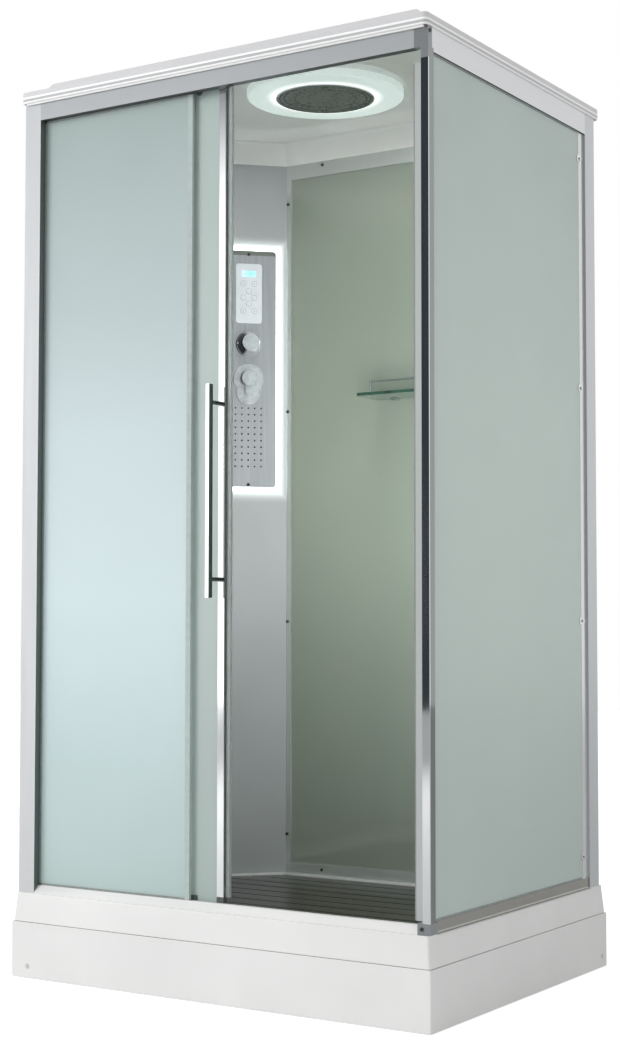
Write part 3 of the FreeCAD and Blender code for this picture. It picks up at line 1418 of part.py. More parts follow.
def steam_outlet():
    """Steam pipe round the back of the left wall to its nozzle, low in the cabin."""
    inside = LEFT_STRIP_FACE - GLASS_SETBACK
    start = column_point(-STEAM_BOX_WIDTH / 2, COLUMN_WALL + STEAM_BOX_DEPTH / 2, STEAM_OUTLET_Z)
    turn_y = start[1] - (start[0] - STEAM_PIPE_X)
    run = pipe(
        [
            start,
            (STEAM_PIPE_X, turn_y, STEAM_OUTLET_Z),
            (STEAM_PIPE_X, STEAM_OUTLET_Y, STEAM_OUTLET_Z),
            (inside, STEAM_OUTLET_Y, STEAM_OUTLET_Z),
        ],
        STEAM_PIPE_R,
        [STEAM_BEND, STEAM_BEND],
    )
    profile = [
        (0, 0),
        (STEAM_CAP_R, 0),
        (STEAM_CAP_R, STEAM_CAP_RIM),
        (STEAM_CAP_R * STEAM_CAP_TAPER, STEAM_CAP_PROUD),
        (0, STEAM_CAP_PROUD),
    ]
    section = face_of([(x, r, 0) for r, x in profile])
    cap = section.revolve(V(0, 0, 0), X_AXIS, 360)
    mouth = cyl(STEAM_MOUTH_R, STEAM_CAP_PROUD, (STEAM_CAP_PROUD / 2, 0, 0), X_AXIS)
    cap = cap.cut(mouth)
    cap.translate(V(inside, STEAM_OUTLET_Y, STEAM_OUTLET_Z))
    return fused(run, cap)


# ================================================================ roof
def pod(span, inset):
    """Raised roof pod with round corners and a soft top edge; inset draws its inside."""
    x0, x1 = span
    plan = rectangle(x0 + inset, x1 - inset, POD_FRONT + inset, POD_BACK - inset)
    body = rounded(prism(plan, DECK_Z - ROOF_SHELL - 1, POD_TOP - inset), Z_AXIS, POD_CORNER_R - inset)
    top = [e for e in body.Edges if e.BoundBox.ZMin > POD_TOP - inset - 0.5]
    return body.makeFillet(POD_EDGE_R - inset, top)


def roof_half_rectangle(inset):
    half_x = ROOF_HALF - inset
    half_y = HALF_DEPTH - inset
    return rectangle(-half_x, half_x, -half_y, half_y)


def level_edges(shape, z):
    return [e for e in shape.Edges if e.BoundBox.ZLength < 1e-6 and abs(e.BoundBox.ZMin - z) < 1e-6]


def drip_edge():
    """Stepped return under the front lip, just clear of the head rail."""
    front = ROOF_SHELL / 2 - HALF_DEPTH
    step = DRIP_STEP - HALF_DEPTH
    back = DRIP_DEPTH - HALF_DEPTH
    section = [
        (front, ROOF_LIP_BOTTOM + ROOF_SHELL),
        (front, ROOF_LIP_BOTTOM + ROOF_LOW_EDGE_R),
        (front + ROOF_LOW_EDGE_R, ROOF_LIP_BOTTOM),
        (step, ROOF_LIP_BOTTOM),
        (step, ROOF_LIP_BOTTOM - DRIP_DROP),
        (back, ROOF_LIP_BOTTOM - DRIP_DROP),
        (back, ROOF_LIP_BOTTOM + ROOF_SHELL),
    ]
    return bar_x(section, ROOF_CORNER_R - ROOF_HALF, ROOF_HALF - ROOF_CORNER_R)


def roof_shell():
    """Moulded roof: rounded lip with a drip edge, raised deck and two pods, hollow, with a seat."""
    lip = rounded(prism(roof_half_rectangle(0), ROOF_LIP_BOTTOM, ROOF_LIP_TOP), Z_AXIS, ROOF_CORNER_R)
    lip = lip.makeFillet(ROOF_TOP_EDGE_R, level_edges(lip, ROOF_LIP_TOP))
    lip = lip.makeFillet(ROOF_LOW_EDGE_R, level_edges(lip, ROOF_LIP_BOTTOM))
    deck = loft(roof_half_rectangle(DECK_INSET), ROOF_LIP_TOP, roof_half_rectangle(DECK_TOP_INSET), DECK_Z)
    outer = lip.fuse([deck, pod(LEFT_POD, 0), pod(RIGHT_POD, 0)])
    wall = ROOF_SHELL
    hollow = prism(roof_half_rectangle(wall), ROOF_LIP_BOTTOM - OVER, ROOF_LIP_TOP - wall)
    hollow = rounded(hollow, Z_AXIS, ROOF_CORNER_R - wall)
    under = loft(
        roof_half_rectangle(DECK_INSET + wall),
        ROOF_LIP_TOP - wall - 0.5,
        roof_half_rectangle(DECK_TOP_INSET + wall),
        DECK_Z - wall,
    )
    shell = outer.cut(hollow).cut(under)
    for span in (LEFT_POD, RIGHT_POD):
        shell = shell.cut(pod(span, wall))
    seat = prism(roof_half_rectangle(wall), FRAME_TOP, FRAME_TOP + wall)
    seat = seat.cut(prism(roof_half_rectangle(ROOF_SEAT_INNER), FRAME_TOP - OVER, FRAME_TOP + 2 * OVER))
    shell = fused(shell, seat, drip_edge())
    entry_r = RISER_R + RISER_HOLE_PLAY
    entry = cyl(entry_r, LIGHT_X - ROOF_RUN_X, (ROOF_RUN_X, LIGHT_Y, RISER_RUN_Z), X_AXIS)
    return shell.cut(riser_hole()).cut(entry)


def ceiling_bowl(grow):
    """Space under the ceiling: a low frustum on the wall lines, its edges well rounded."""
    left = LEFT_STRIP_FACE - grow
    right = FRAME_HALF - SIDE_RAIL_DEPTH + grow
    front = TOP_RAIL_BACK + 2 * CEILING_WALL - grow
    back = BACK_STRIP_FRONT + grow
    low = cabin_outline(left, right, front, back, -grow)
    sides = (left + COVE_RUN, right - COVE_RUN, front + COVE_RUN, back - COVE_RUN)
    high = cabin_outline(*sides, COVE_RUN - grow)
    bowl = loft(low, SIDE_RAIL_LEDGE - 1, high, CEILING_Z + grow)
    return bowl.makeFillet(COVE_R + grow, level_edges(bowl, CEILING_Z + grow))


def ceiling_panel():
    """Coved ceiling moulding: flat rim on the wall tops, soft cove, flat middle."""
    rim_z = SIDE_RAIL_LEDGE + CEILING_WALL
    rim = cabin_outline(
        POST_HOOK_X,
        FRAME_HALF - PROFILE_WALL,
        TOP_RAIL_BACK,
        BACK_STRIP_FRONT + STRIP_DEPTH,
        -STRIP_WIDTH,
    )
    panel = prism(rim, SIDE_RAIL_LEDGE, rim_z).fuse(ceiling_bowl(CEILING_WALL))
    panel = panel.common(box(-ROOF_HALF, ROOF_HALF, -ROOF_HALF, ROOF_HALF, SIDE_RAIL_LEDGE, DECK_Z))
    panel = panel.cut(ceiling_bowl(0)).removeSplitter()
    rear_post = box(
        FRAME_HALF - REAR_POST_WIDTH,
        FRAME_HALF,
        REAR_POST_FRONT,
        REAR_POST_BACK,
        SIDE_RAIL_LEDGE - OVER,
        FRAME_TOP,
    )
    x, y, z = riser_route()[0]
    panel = panel.cut(rear_post).cut(cyl(RISER_R + RISER_HOLE_PLAY, DECK_Z, (x, y, z)))
    return panel.cut(cyl(STUB_R, CEILING_WALL + 2 * OVER, (LIGHT_X, LIGHT_Y, CEILING_Z - OVER)))


def light_ring():
    """Opal light ring on the ceiling with a rounded lower edge."""
    low = CEILING_Z - LIGHT_THICK
    ring = cyl(LIGHT_R, LIGHT_THICK, (LIGHT_X, LIGHT_Y, low))
    ring = ring.makeFillet(LIGHT_EDGE_R, [farthest_circle(ring, -Z_AXIS)])
    return ring.cut(cyl(HEAD_R + HEAD_GAP, LIGHT_THICK + 2 * OVER, (LIGHT_X, LIGHT_Y, low - OVER)))


HEAD_BOTTOM = CEILING_Z - LIGHT_THICK - HEAD_DROP


def shower_head():
    """Overhead head: bright rim round a shallow body, with its inlet stub through the ceiling."""
    body_top = CEILING_Z
    body = cyl(HEAD_R, body_top - HEAD_BOTTOM, (LIGHT_X, LIGHT_Y, HEAD_BOTTOM))
    body = body.makeFillet(HEAD_EDGE_R, [farthest_circle(body, -Z_AXIS)])
    recess = cyl(HEAD_R - HEAD_RIM, HEAD_RECESS + OVER, (LIGHT_X, LIGHT_Y, HEAD_BOTTOM - OVER))
    stub = cyl(STUB_R - STUB_PLAY, STUB_HEIGHT + OVER, (LIGHT_X, LIGHT_Y, body_top - OVER))
    seat = cyl(RISER_R + THREAD_PLAY, STUB_HEIGHT + OVER, (LIGHT_X, LIGHT_Y, body_top))
    return fused(body, stub).cut(recess).cut(seat)


def shower_face():
    """Dark face plate with one round groove and radial grooves, just inside the rim."""
    low = HEAD_BOTTOM + HEAD_FACE_SINK
    top = HEAD_BOTTOM + HEAD_RECESS
    radius = HEAD_R - HEAD_RIM
    plate = cyl(radius, top - low, (LIGHT_X, LIGHT_Y, low))
    ring_r = radius * HEAD_INNER_RATIO
    groove = cyl(ring_r + GROOVE / 2, GROOVE + OVER, (LIGHT_X, LIGHT_Y, low - OVER))
    groove = groove.cut(cyl(ring_r - GROOVE / 2, GROOVE + OVER, (LIGHT_X, LIGHT_Y, low - OVER)))
    cuts = [groove]
    for spoke in range(HEAD_SPOKES):
        slot = box(ring_r, radius + OVER, -GROOVE / 2, GROOVE / 2, low - OVER, low + GROOVE)
        slot.rotate(V(0, 0, 0), Z_AXIS, 360 * spoke / HEAD_SPOKES)
        slot.translate(V(LIGHT_X, LIGHT_Y, 0))
        cuts.append(slot)
    return plate.cut(cuts[0].fuse(cuts[1:]))


# ================================================================ shelf and screws
SHELF_POST_Y = SHELF_FRONT + SHELF_POST_BACK


def glass_shelf():
    back = BACK_STRIP_FRONT + GLASS_SETBACK - SHELF_WALL_GAP
    plate = box(SHELF_LEFT, SHELF_RIGHT, SHELF_FRONT, back, SHELF_Z, SHELF_Z + SHELF_THICK)
    front = [e for e in edges_along(plate, Z_AXIS) if e.firstVertex().Y < SHELF_FRONT + 1]
    plate = plate.makeFillet(SHELF_CORNER_R, front)
    for x in shelf_ends(SHELF_POST_IN):
        plate = plate.cut(cyl(SHELF_PIN_R, SHELF_THICK + 2 * OVER, (x, SHELF_POST_Y, SHELF_Z - OVER)))
    return plate


def shelf_ends(inset):
    return (SHELF_LEFT + inset, SHELF_RIGHT - inset)


def shelf_fittings():
    """Gallery rail on two posts with nuts under the glass, and two wall clamps."""
    wall = BACK_STRIP_FRONT + GLASS_SETBACK
    y = SHELF_POST_Y
    top = SHELF_Z + SHELF_THICK
    rail_length = SHELF_RIGHT - SHELF_LEFT - 2 * SHELF_POST_IN
    rail = cyl(SHELF_RAIL_R, rail_length, (SHELF_LEFT + SHELF_POST_IN, y, 0), X_AXIS)
    rail.translate(V(0, 0, top + SHELF_RAIL_RISE - SHELF_RAIL_R))
    pieces = []
    for x in shelf_ends(SHELF_POST_IN):
        pieces.append(cyl(SHELF_POST_R, SHELF_RAIL_RISE, (x, y, top)))
        pieces.append(cyl(SHELF_PIN_R, SHELF_THICK, (x, y, SHELF_Z)))
        pieces.append(cyl(SHELF_POST_R, SHELF_NUT, (x, y, SHELF_Z - SHELF_NUT)))
    gallery = fused(rail, *pieces)
    solids = [gallery]
    for x in shelf_ends(CLAMP_IN):
        clamp = cyl(CLAMP_R, CLAMP_LENGTH, (x, wall - CLAMP_LENGTH, SHELF_Z + SHELF_THICK / 2), Y_AXIS)
        solids.append(clamp.cut(glass_shelf()))
    return solids


def screw_head(base, axis):
    head = cyl(SCREW_R, SCREW_HEAD, base, axis)
    return head.makeFillet(SCREW_EDGE_R, [farthest_circle(head, axis)])


def assembly_screws():
    """Visible pan-head screws and the domed caps of the skirt panels."""
    inward = -Y_AXIS
    left = BACK_RUN[0]
    span = BACK_RUN[1] - left - 2 * STRIP_WIDTH
    heads = []
    for z in evenly(STRIP_SCREW_LOW, STRIP_SCREW_HIGH, STRIP_SCREW_COUNT):
        heads.append(screw_head((left + STRIP_WIDTH / 2, BACK_STRIP_FRONT, z), inward))
    for share in RAIL_SCREW_SHARES:
        x = left + STRIP_WIDTH + share * span
        heads.append(screw_head((x, BACK_STRIP_FRONT, WALL_TOP - TOP_STRIP_SCREW_DROP), inward))
        heads.append(screw_head((x, BACK_STRIP_FRONT, WALL_BOTTOM + BOTTOM_STRIP_HEIGHT / 2), inward))
    for z in PANEL_SCREW_Z:
        heads.append(on_column(screw_head((0, PANEL_FRONT, z), inward)))
    block_z = (TRAY_TOP + BLOCK_TOP) / 2
    heads.append(screw_head(((BLOCK_LEFT + FRAME_HALF) / 2 - SCREW_R, FRAME_FRONT, block_z), inward))
    cap_middle = (FRAME_FRONT + CAP_BLOCK_BACK) / 2
    heads.append(screw_head((FRAME_HALF, cap_middle, FRAME_TOP - CAP_SCREW_DROP), X_AXIS))
    return heads + apron_caps()


# ================================================================ assembly
def build():
    keep("levelling_feet", *levelling_feet())
    keep("tray_support_frame", *support_frame())
    keep("shower_tray", shower_tray())
    keep("front_apron", front_apron())
    keep("side_aprons", *side_aprons())
    keep("floor_slats", *floor_slats())
    keep("drain_waste", drain_waste())
    keep("left_front_post", left_front_post())
    keep("corner_post", corner_post())
    keep("corner_blocks", *corner_blocks())
    keep("rear_right_post", rear_right_post())
    keep("front_top_rail", front_top_rail())
    keep("front_threshold", threshold())
    keep("side_top_rail", side_top_rail())
    keep("side_bottom_rail", side_bottom_rail())
    keep("fixed_front_glass", fixed_front_glass())
    keep("fixed_glass_trim", fixed_glass_trim())
    keep("side_glass", side_glass())
    keep("side_glass_clips", *side_glass_clips())
    keep("strike_profile", strike_profile())
    keep("strike_seal", strike_seal())
    back_glass, back_strips = back_wall()
    left_glass, left_strips = left_wall()
    keep("back_wall_glass", back_glass)
    keep("left_wall_glass", left_glass)
    keep("wall_strips", *back_strips, *left_strips, side_rear_strip())
    keep("corner_column", corner_column())
    keep("led_diffuser", led_diffuser())
    keep("control_panel", control_panel())
    keep("display_fascia", display_fascia())
    keep("lcd_window", on_column(lcd_block()))
    keep("jet_nozzles", jet_nozzles())
    keep("escutcheons", *escutcheons())
    keep("valve_block", valve_block())
    keep("shower_riser", shower_riser())
    keep("steam_generator", steam_generator())
    keep("steam_outlet", steam_outlet())
    keep("roof_shell", roof_shell())
    keep("ceiling_panel", ceiling_panel())
    keep("light_ring", light_ring())
    keep("shower_head", shower_head())
    keep("shower_face", shower_face())
    keep("glass_shelf", glass_shelf())
    keep("shelf_fittings", *shelf_fittings())
    keep("assembly_screws", *assembly_screws())
    keep("door_glass", door_glass())
    keep("door_edge_profile", door_edge_profile())
    keep("door_seal", door_seal())
    keep("door_handle", door_handle())
    keep("door_fittings", *door_fittings())
    keep("roller_left", roller(WHEEL_X[0]))
    keep("roller_right", roller(WHEEL_X[1]))
    keep("mixer_knob", mixer_knob())
    keep("diverter_knob", diverter_knob())
    for name, (across, z) in KEYS.items():
        keep(name, key(across, z))


build()
os.makedirs("parts", exist_ok=True)
for name, solids in PARTS.items():
    shape = solids[0] if len(solids) == 1 else Part.makeCompound(list(solids))
    if not shape.isValid():
        raise ValueError(name + " is not a valid solid")
    shape.exportStep("parts/" + name + ".step")
    print(name, len(shape.Solids), "solids", round(shape.Volume / 1000.0, 1), "cm3")
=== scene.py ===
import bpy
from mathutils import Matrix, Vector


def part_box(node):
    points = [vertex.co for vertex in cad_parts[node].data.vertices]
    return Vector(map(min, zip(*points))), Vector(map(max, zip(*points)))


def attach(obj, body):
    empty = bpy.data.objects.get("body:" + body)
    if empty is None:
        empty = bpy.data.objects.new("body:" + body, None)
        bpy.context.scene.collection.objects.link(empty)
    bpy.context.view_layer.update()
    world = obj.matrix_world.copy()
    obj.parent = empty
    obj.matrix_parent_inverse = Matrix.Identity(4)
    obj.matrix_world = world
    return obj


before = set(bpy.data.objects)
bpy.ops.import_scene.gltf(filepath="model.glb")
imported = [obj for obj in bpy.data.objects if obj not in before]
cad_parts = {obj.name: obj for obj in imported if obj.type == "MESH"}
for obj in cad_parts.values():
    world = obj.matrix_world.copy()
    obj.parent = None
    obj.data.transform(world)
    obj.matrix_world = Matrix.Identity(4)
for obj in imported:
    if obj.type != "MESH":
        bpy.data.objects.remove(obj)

"""Looks of the steam shower cabin.

A finish for every solid, small fittings as computed surfaces, and the stage.
"""

import math

import bmesh
import bpy
import numpy as np
from mathutils import Matrix, Vector

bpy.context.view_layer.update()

bl_info = {
    "name": "Steam shower cabin",
    "version": (1, 1, 0),
    "blender": (4, 5, 0),
    "location": "View3D > Sidebar > Cabin",
    "description": "Finishes, small fittings and stage for a steam shower cabin",
    "category": "Object",
}

MM = 0.001
UP = np.array([0.0, 0.0, 1.0])
RIGHT = np.array([1.0, 0.0, 0.0])
BACK = np.array([0.0, 1.0, 0.0])
ACROSS_COLUMN = np.array([math.sqrt(0.5), math.sqrt(0.5), 0.0])
OUT_OF_COLUMN = np.array([math.sqrt(0.5), -math.sqrt(0.5), 0.0])
WHITE = (1, 1, 1, 1)

# Stretch of a pattern that gives lines along one direction.
UPRIGHT_LINES = (1, 1, 0.02)
CROSSWISE_LINES = (0.02, 1, 1)
DEEP_LINES = (1, 0.02, 1)

# Pairs of heights in metres: the first gives 0 and the second 1. The first two place the etched panes' paler
# band, which is painted light, and the third places their painted inner light.
PALE_FROM_TOP = (2.1, 1.3)
PALE_FROM_FOOT = (0.1, 0.9)
GLOW_FROM_TOP = (1.6, 0.3)
SCREWS_FROM_CAPS = (0.05, 0.06)

SPILL = 32 * MM  # reach of the glow painted on the column round the panel
DIFFUSER_FADE = 16 * MM  # width of the lit edge that dims
RING_LAMPS = 0.63  # share of the ring's radius that stays fully lit
RING_RIM = 0.76  # share of it from which the ring is dim
BOARDS = 11
BOARD_GAP = 5.6 * MM
SHADED_PANEL_LIP = 13.5 * MM  # turned edge at the top of the control panel, painted darker as shade
FACE_GROOVE = 77 * MM  # radius of the groove in the head's face
SPOKE_REACH = 1.38  # outer end of the face's short lines, over the groove's radius
NOZZLE_SPAN = (0.86, 0.95)  # radii of the nozzle rings, over the face's radius
GRILLE_WIRE = 0.8 * MM
KEY_RING_GAP = 0.5  # mm between a key and the ring round it
KEY_LINE_GAP = 8.0  # mm between a key's middle and the line that joins the keys
SHARP_EDGE = math.radians(35)


# ------------------------------------------------------------------ places read from the solids
def node_points(name):
    """All points of a solid's mesh, one row each."""
    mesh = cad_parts[name].data
    points = np.empty(len(mesh.vertices) * 3)
    mesh.vertices.foreach_get("co", points)
    return points.reshape(-1, 3)


def node_box(name):
    """Lowest and highest corner of a solid."""
    low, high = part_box(name)
    return np.array(low), np.array(high)


def face_spot(name, outward):
    """Middle of the face that looks outward: the box's middle, moved out as far as the solid reaches."""
    low, high = node_box(name)
    middle = (low + high) / 2
    return middle + outward * ((node_points(name) @ outward).max() - middle @ outward)


def solids_of(name):
    """Points of each separate solid: every triangle passes its lowest label on until none changes."""
    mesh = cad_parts[name].data
    corners = np.empty(len(mesh.loops), int)
    mesh.loops.foreach_get("vertex_index", corners)
    spots, same = np.unique(np.round(node_points(name), 6), axis=0, return_inverse=True)
    corners = same.reshape(-1)[corners].reshape(-1, 3)
    label = np.arange(len(spots))
    settled = False
    while not settled:
        lower = label.copy()
        lowest = label[corners].min(1)
        np.minimum.at(lower, corners, np.broadcast_to(lowest[:, None], corners.shape))
        settled = (lower == label).all()
        label = lower[lower]
    return [spots[label == number] for number in np.unique(label)]


# ------------------------------------------------------------------ colour and nodes
def linear(code):
    """Linear colour of an sRGB hex code."""
    channels = [int(code[i:i + 2], 16) / 255 for i in (1, 3, 5)]
    return tuple(c / 12.92 if c <= 0.04045 else ((c + 0.055) / 1.055) ** 2.4 for c in channels) + (1.0,)


def add(tree, kind, settings=(), inputs=(), links=()):
    """Adds one node: its own settings, the values of its inputs, and the outputs that feed it."""
    node = tree.nodes.new(kind)
    for key, value in dict(settings).items():
        setattr(node, key, value)
    for key, value in dict(inputs).items():
        node.inputs[key].default_value = value
    for key, output in dict(links).items():
        tree.links.new(output, node.inputs[key])
    return node


def shader_of(name, color, roughness, metallic=0.0, **sockets):
    """A new material whose constants sit on its Principled shader's own sockets."""
    material = bpy.data.materials.new(name)
    material.use_nodes = True
    shader = material.node_tree.nodes["Principled BSDF"]
    shader.inputs["Base Color"].default_value = linear(color)
    shader.inputs["Roughness"].default_value = roughness
    shader.inputs["Metallic"].default_value = metallic
    for key, value in sockets.items():
        shader.inputs[key.replace("_", " ")].default_value = value
    return material, material.node_tree, shader


def lumps(tree, size_mm, stretch=(1, 1, 1), detail=2.0):
    """Pattern of soft lumps about size_mm across, fixed to the object and stretched along its axes."""
    place = add(tree, "ShaderNodeTexCoord").outputs["Object"]
    grid = add(tree, "ShaderNodeMapping", inputs={"Scale": stretch}, links={"Vector": place})
    inputs = {"Scale": 1 / (size_mm * MM), "Detail": detail}
    return add(tree, "ShaderNodeTexNoise", inputs=inputs, links={"Vector": grid.outputs[0]}).outputs["Fac"]


def beyond(tree, low, high, axis="Z"):
    """0 before low and 1 past high along an axis of the object, in metres; heights are from the floor."""
    place = add(tree, "ShaderNodeTexCoord").outputs["Object"]
    split = add(tree, "ShaderNodeSeparateXYZ", links={"Vector": place})
    ends = {"From Min": low, "From Max": high}
    ramp = add(tree, "ShaderNodeMapRange", inputs=ends, links={"Value": split.outputs[axis]})
    return ramp.outputs["Result"]


def facing(tree, axis, low=0.2, high=0.8):
    """1 on faces that look along the axis and 0 on those that look away from it."""
    normal = add(tree, "ShaderNodeNewGeometry").outputs["Normal"]
    along = add(tree, "ShaderNodeVectorMath", {"operation": "DOT_PRODUCT"}, {1: tuple(axis)}, {0: normal})
    ends = {"From Min": low, "From Max": high}
    ramp = add(tree, "ShaderNodeMapRange", inputs=ends, links={"Value": along.outputs["Value"]})
    return ramp.outputs["Result"]


def finish(
    name, dark, light, patch_mm, rough, smear_mm, grain_mm=0.0, depth_mm=0.0, along=(1, 1, 1), **sockets
):
    """The common make-up of a finish: patches between two tones, smears of gloss and a fine grain."""
    material, tree, shader = shader_of(name, dark, rough[0], **sockets)
    spread = {"From Min": 0.3, "From Max": 0.7}
    tone = add(tree, "ShaderNodeMapRange", inputs=spread, links={"Value": lumps(tree, patch_mm, along)})
    tones = {6: linear(dark), 7: linear(light)}
    color = add(tree, "ShaderNodeMix", {"data_type": "RGBA"}, tones, {"Factor": tone.outputs["Result"]})
    tree.links.new(color.outputs[2], shader.inputs["Base Color"])
    gloss = {"From Min": 0.3, "From Max": 0.7, "To Min": rough[0], "To Max": rough[1]}
    smear = add(tree, "ShaderNodeMapRange", inputs=gloss, links={"Value": lumps(tree, smear_mm, along)})
    tree.links.new(smear.outputs["Result"], shader.inputs["Roughness"])
    if grain_mm:
        grain = {"Height": lumps(tree, grain_mm, along, 1.0)}
        relief = add(tree, "ShaderNodeBump", inputs={"Strength": 0.3, "Distance": depth_mm * MM}, links=grain)
        tree.links.new(relief.outputs["Normal"], shader.inputs["Normal"])
    return material, tree, shader, color


def past_edge(tree, name, reach):
    """0 inside the outline of a plate on the column's face, rising to 1 at reach outside it."""
    low, high = node_box(name)
    middle = (low + high) / 2
    half = np.ptp(node_points(name) @ ACROSS_COLUMN) / 2
    place = add(tree, "ShaderNodeTexCoord").outputs["Object"]
    centred = add(tree, "ShaderNodeVectorMath", {"operation": "SUBTRACT"}, {1: tuple(middle)}, {0: place})
    spot = {0: centred.outputs[0]}
    past = []
    for axis, size in ((ACROSS_COLUMN, half), (UP, (high - low)[2] / 2)):
        along = add(tree, "ShaderNodeVectorMath", {"operation": "DOT_PRODUCT"}, {1: tuple(axis)}, spot)
        away = add(tree, "ShaderNodeMath", {"operation": "ABSOLUTE"}, links={0: along.outputs["Value"]})
        ends = {"From Min": size, "From Max": size + reach}
        ramp = add(tree, "ShaderNodeMapRange", inputs=ends, links={"Value": away.outputs[0]})
        past.append(ramp.outputs["Result"])
    return add(tree, "ShaderNodeMath", {"operation": "MAXIMUM"}, links={0: past[0], 1: past[1]}).outputs[0]


def blend_over(tree, shader, color, over, share):
    """Lays a second tone over the shader's colour where share is 1."""
    links = {"Factor": share, 6: color.outputs[2]}
    mix = add(tree, "ShaderNodeMix", {"data_type": "RGBA"}, {7: linear(over)}, links)
    tree.links.new(mix.outputs[2], shader.inputs["Base Color"])
    return mix


# ------------------------------------------------------------------ finishes
def formed_acrylic(name, dark, light, gloss, shine):
    """Vacuum-formed acrylic sheet: a deep gloss with the faint waviness of the mould."""
    sockets = {"Coat_Weight": 0.35 * shine, "Coat_Roughness": 0.05, "Coat_IOR": 1.3 + 0.2 * shine}
    return finish(name, dark, light, 240, gloss, 60, 22, 0.12, **sockets)[0]


def roof_acrylic():
    """Vacuum-formed acrylic with painted highlight bands and a painted shade line along its rolled lower
    edge; the two covers on top are painted grey as shade.
    """
    sockets = {"Coat_Weight": 0.3, "Coat_Roughness": 0.06}
    material, tree, shader, color = finish(
        "formed_acrylic_roof", "#D3D3D5", "#D9D9DB", 240, (0.16, 0.24), 60, 22, 0.12, **sockets
    )
    low, high = node_box("roof_shell")
    lip = low[2]
    # Painted light: the white bands are painted highlights along the lip, the grey band between them is a
    # painted shade line, and the top covers are painted grey as shade.
    painted_light_bands = [("#FFFFFF", lip + 19 * MM, lip + 18 * MM), ("#BFC0C2", lip + 14 * MM, lip + 13 * MM)]
    painted_light_bands += [("#FFFFFF", lip + 8 * MM, lip + 7 * MM), ("#B0B0B2", high[2] - 16 * MM, high[2] - 15 * MM)]
    for tone, start, end in painted_light_bands:
        color = blend_over(tree, shader, color, tone, beyond(tree, start, end))
    return material


def anodised_aluminium(name, along, dark="#BCBFC2", light="#C8CBCD", shaded_side_tone=None):
    """Satin anodised extrusion: die lines along it, drawn 1.5 mm apart; its downward faces are painted dark
    as shade, and its right-facing faces take a painted shade tone where one is given.
    """
    material, tree, shader, color = finish(
        name, dark, light, 180, (0.34, 0.42), 6, 1.5, 0.012, along, metallic=0.5
    )
    # Painted shade: faces looking down are darkened, and faces looking right take the shade tone.
    shaded_underside = blend_over(tree, shader, color, "#4C4F50", facing(tree, -UP))
    if shaded_side_tone:
        blend_over(tree, shader, shaded_underside, shaded_side_tone, facing(tree, RIGHT))
    return material


def bright_aluminium(name, dark, light, rough, metallic=1.0):
    """Polished and bright anodised extrusion: nearly a mirror, with long soft ripples left by the die."""
    return finish(name, dark, light, 260, (rough, rough + 0.05), 40, 30, 0.02, (1, 1, 0.1), metallic=metallic)


def polished_post():
    """Polished tube: a mirror in front; its right-facing side behind the edge is painted grey as shade."""
    material, tree, shader, color = bright_aluminium("bright_anodised_post", "#DADCDE", "#E2E4E5", 0.035)
    edge = node_box("corner_post")[0][1] + 2.5 * MM
    # Painted shade on the right-facing side behind the edge.
    links = {0: facing(tree, RIGHT), 1: beyond(tree, edge, edge + 1.5 * MM, "Y")}
    side = add(tree, "ShaderNodeMath", {"operation": "MULTIPLY"}, links=links)
    blend_over(tree, shader, color, "#8A908F", side.outputs[0])
    return material


def door_metal(name, shaded_side_tone):
    """Polished metal on the door's edge: a mirror in front, its right-facing side painted darker as shade."""
    material, tree, shader, color = bright_aluminium(name, "#EEF0F1", "#F6F7F8", 0.06)
    # Painted shade on the right-facing side.
    blend_over(tree, shader, color, shaded_side_tone, facing(tree, RIGHT))
    return material


def polished_chrome():
    """Chrome plate on brass: a clear mirror with faint finger smudges."""
    return finish("chrome_plate", "#D2D4D6", "#DEE0E2", 120, (0.04, 0.12), 30, metallic=1.0)[0]


def turned_chrome():
    """Chrome plate on turned knobs: a small mirror, with a painted dark reflection on the left flanks and a
    painted white highlight on the right.
    """
    material, tree, shader, color = finish(
        "chrome_plate_turned", "#DADCE2", "#F4F4F8", 12, (0.05, 0.14), 16, metallic=0.6
    )
    # Painted reflection: the left flanks are dark, and the faces towards the right and up are white.
    painted_dark_flank = blend_over(tree, shader, color, "#17191B", facing(tree, -ACROSS_COLUMN, 0.3, 0.55))
    blend_over(tree, shader, painted_dark_flank, "#FFFFFF", facing(tree, ACROSS_COLUMN + 0.4 * UP, 0.4, 0.8))
    return material


def screw_steel():
    """Passivated steel screws, darker than the strips; the caps low on the skirts are plastic."""
    material, tree, shader, color = finish("passivated_steel", "#4C4E4D", "#6A6C6A", 6, (0.3, 0.45), 3)
    metal = beyond(tree, *SCREWS_FROM_CAPS)
    tree.links.new(metal, shader.inputs["Metallic"])
    low = add(tree, "ShaderNodeMath", {"operation": "SUBTRACT"}, {0: 1.0}, {1: metal})
    blend_over(tree, shader, color, "#C9CACA", low.outputs[0])
    return material


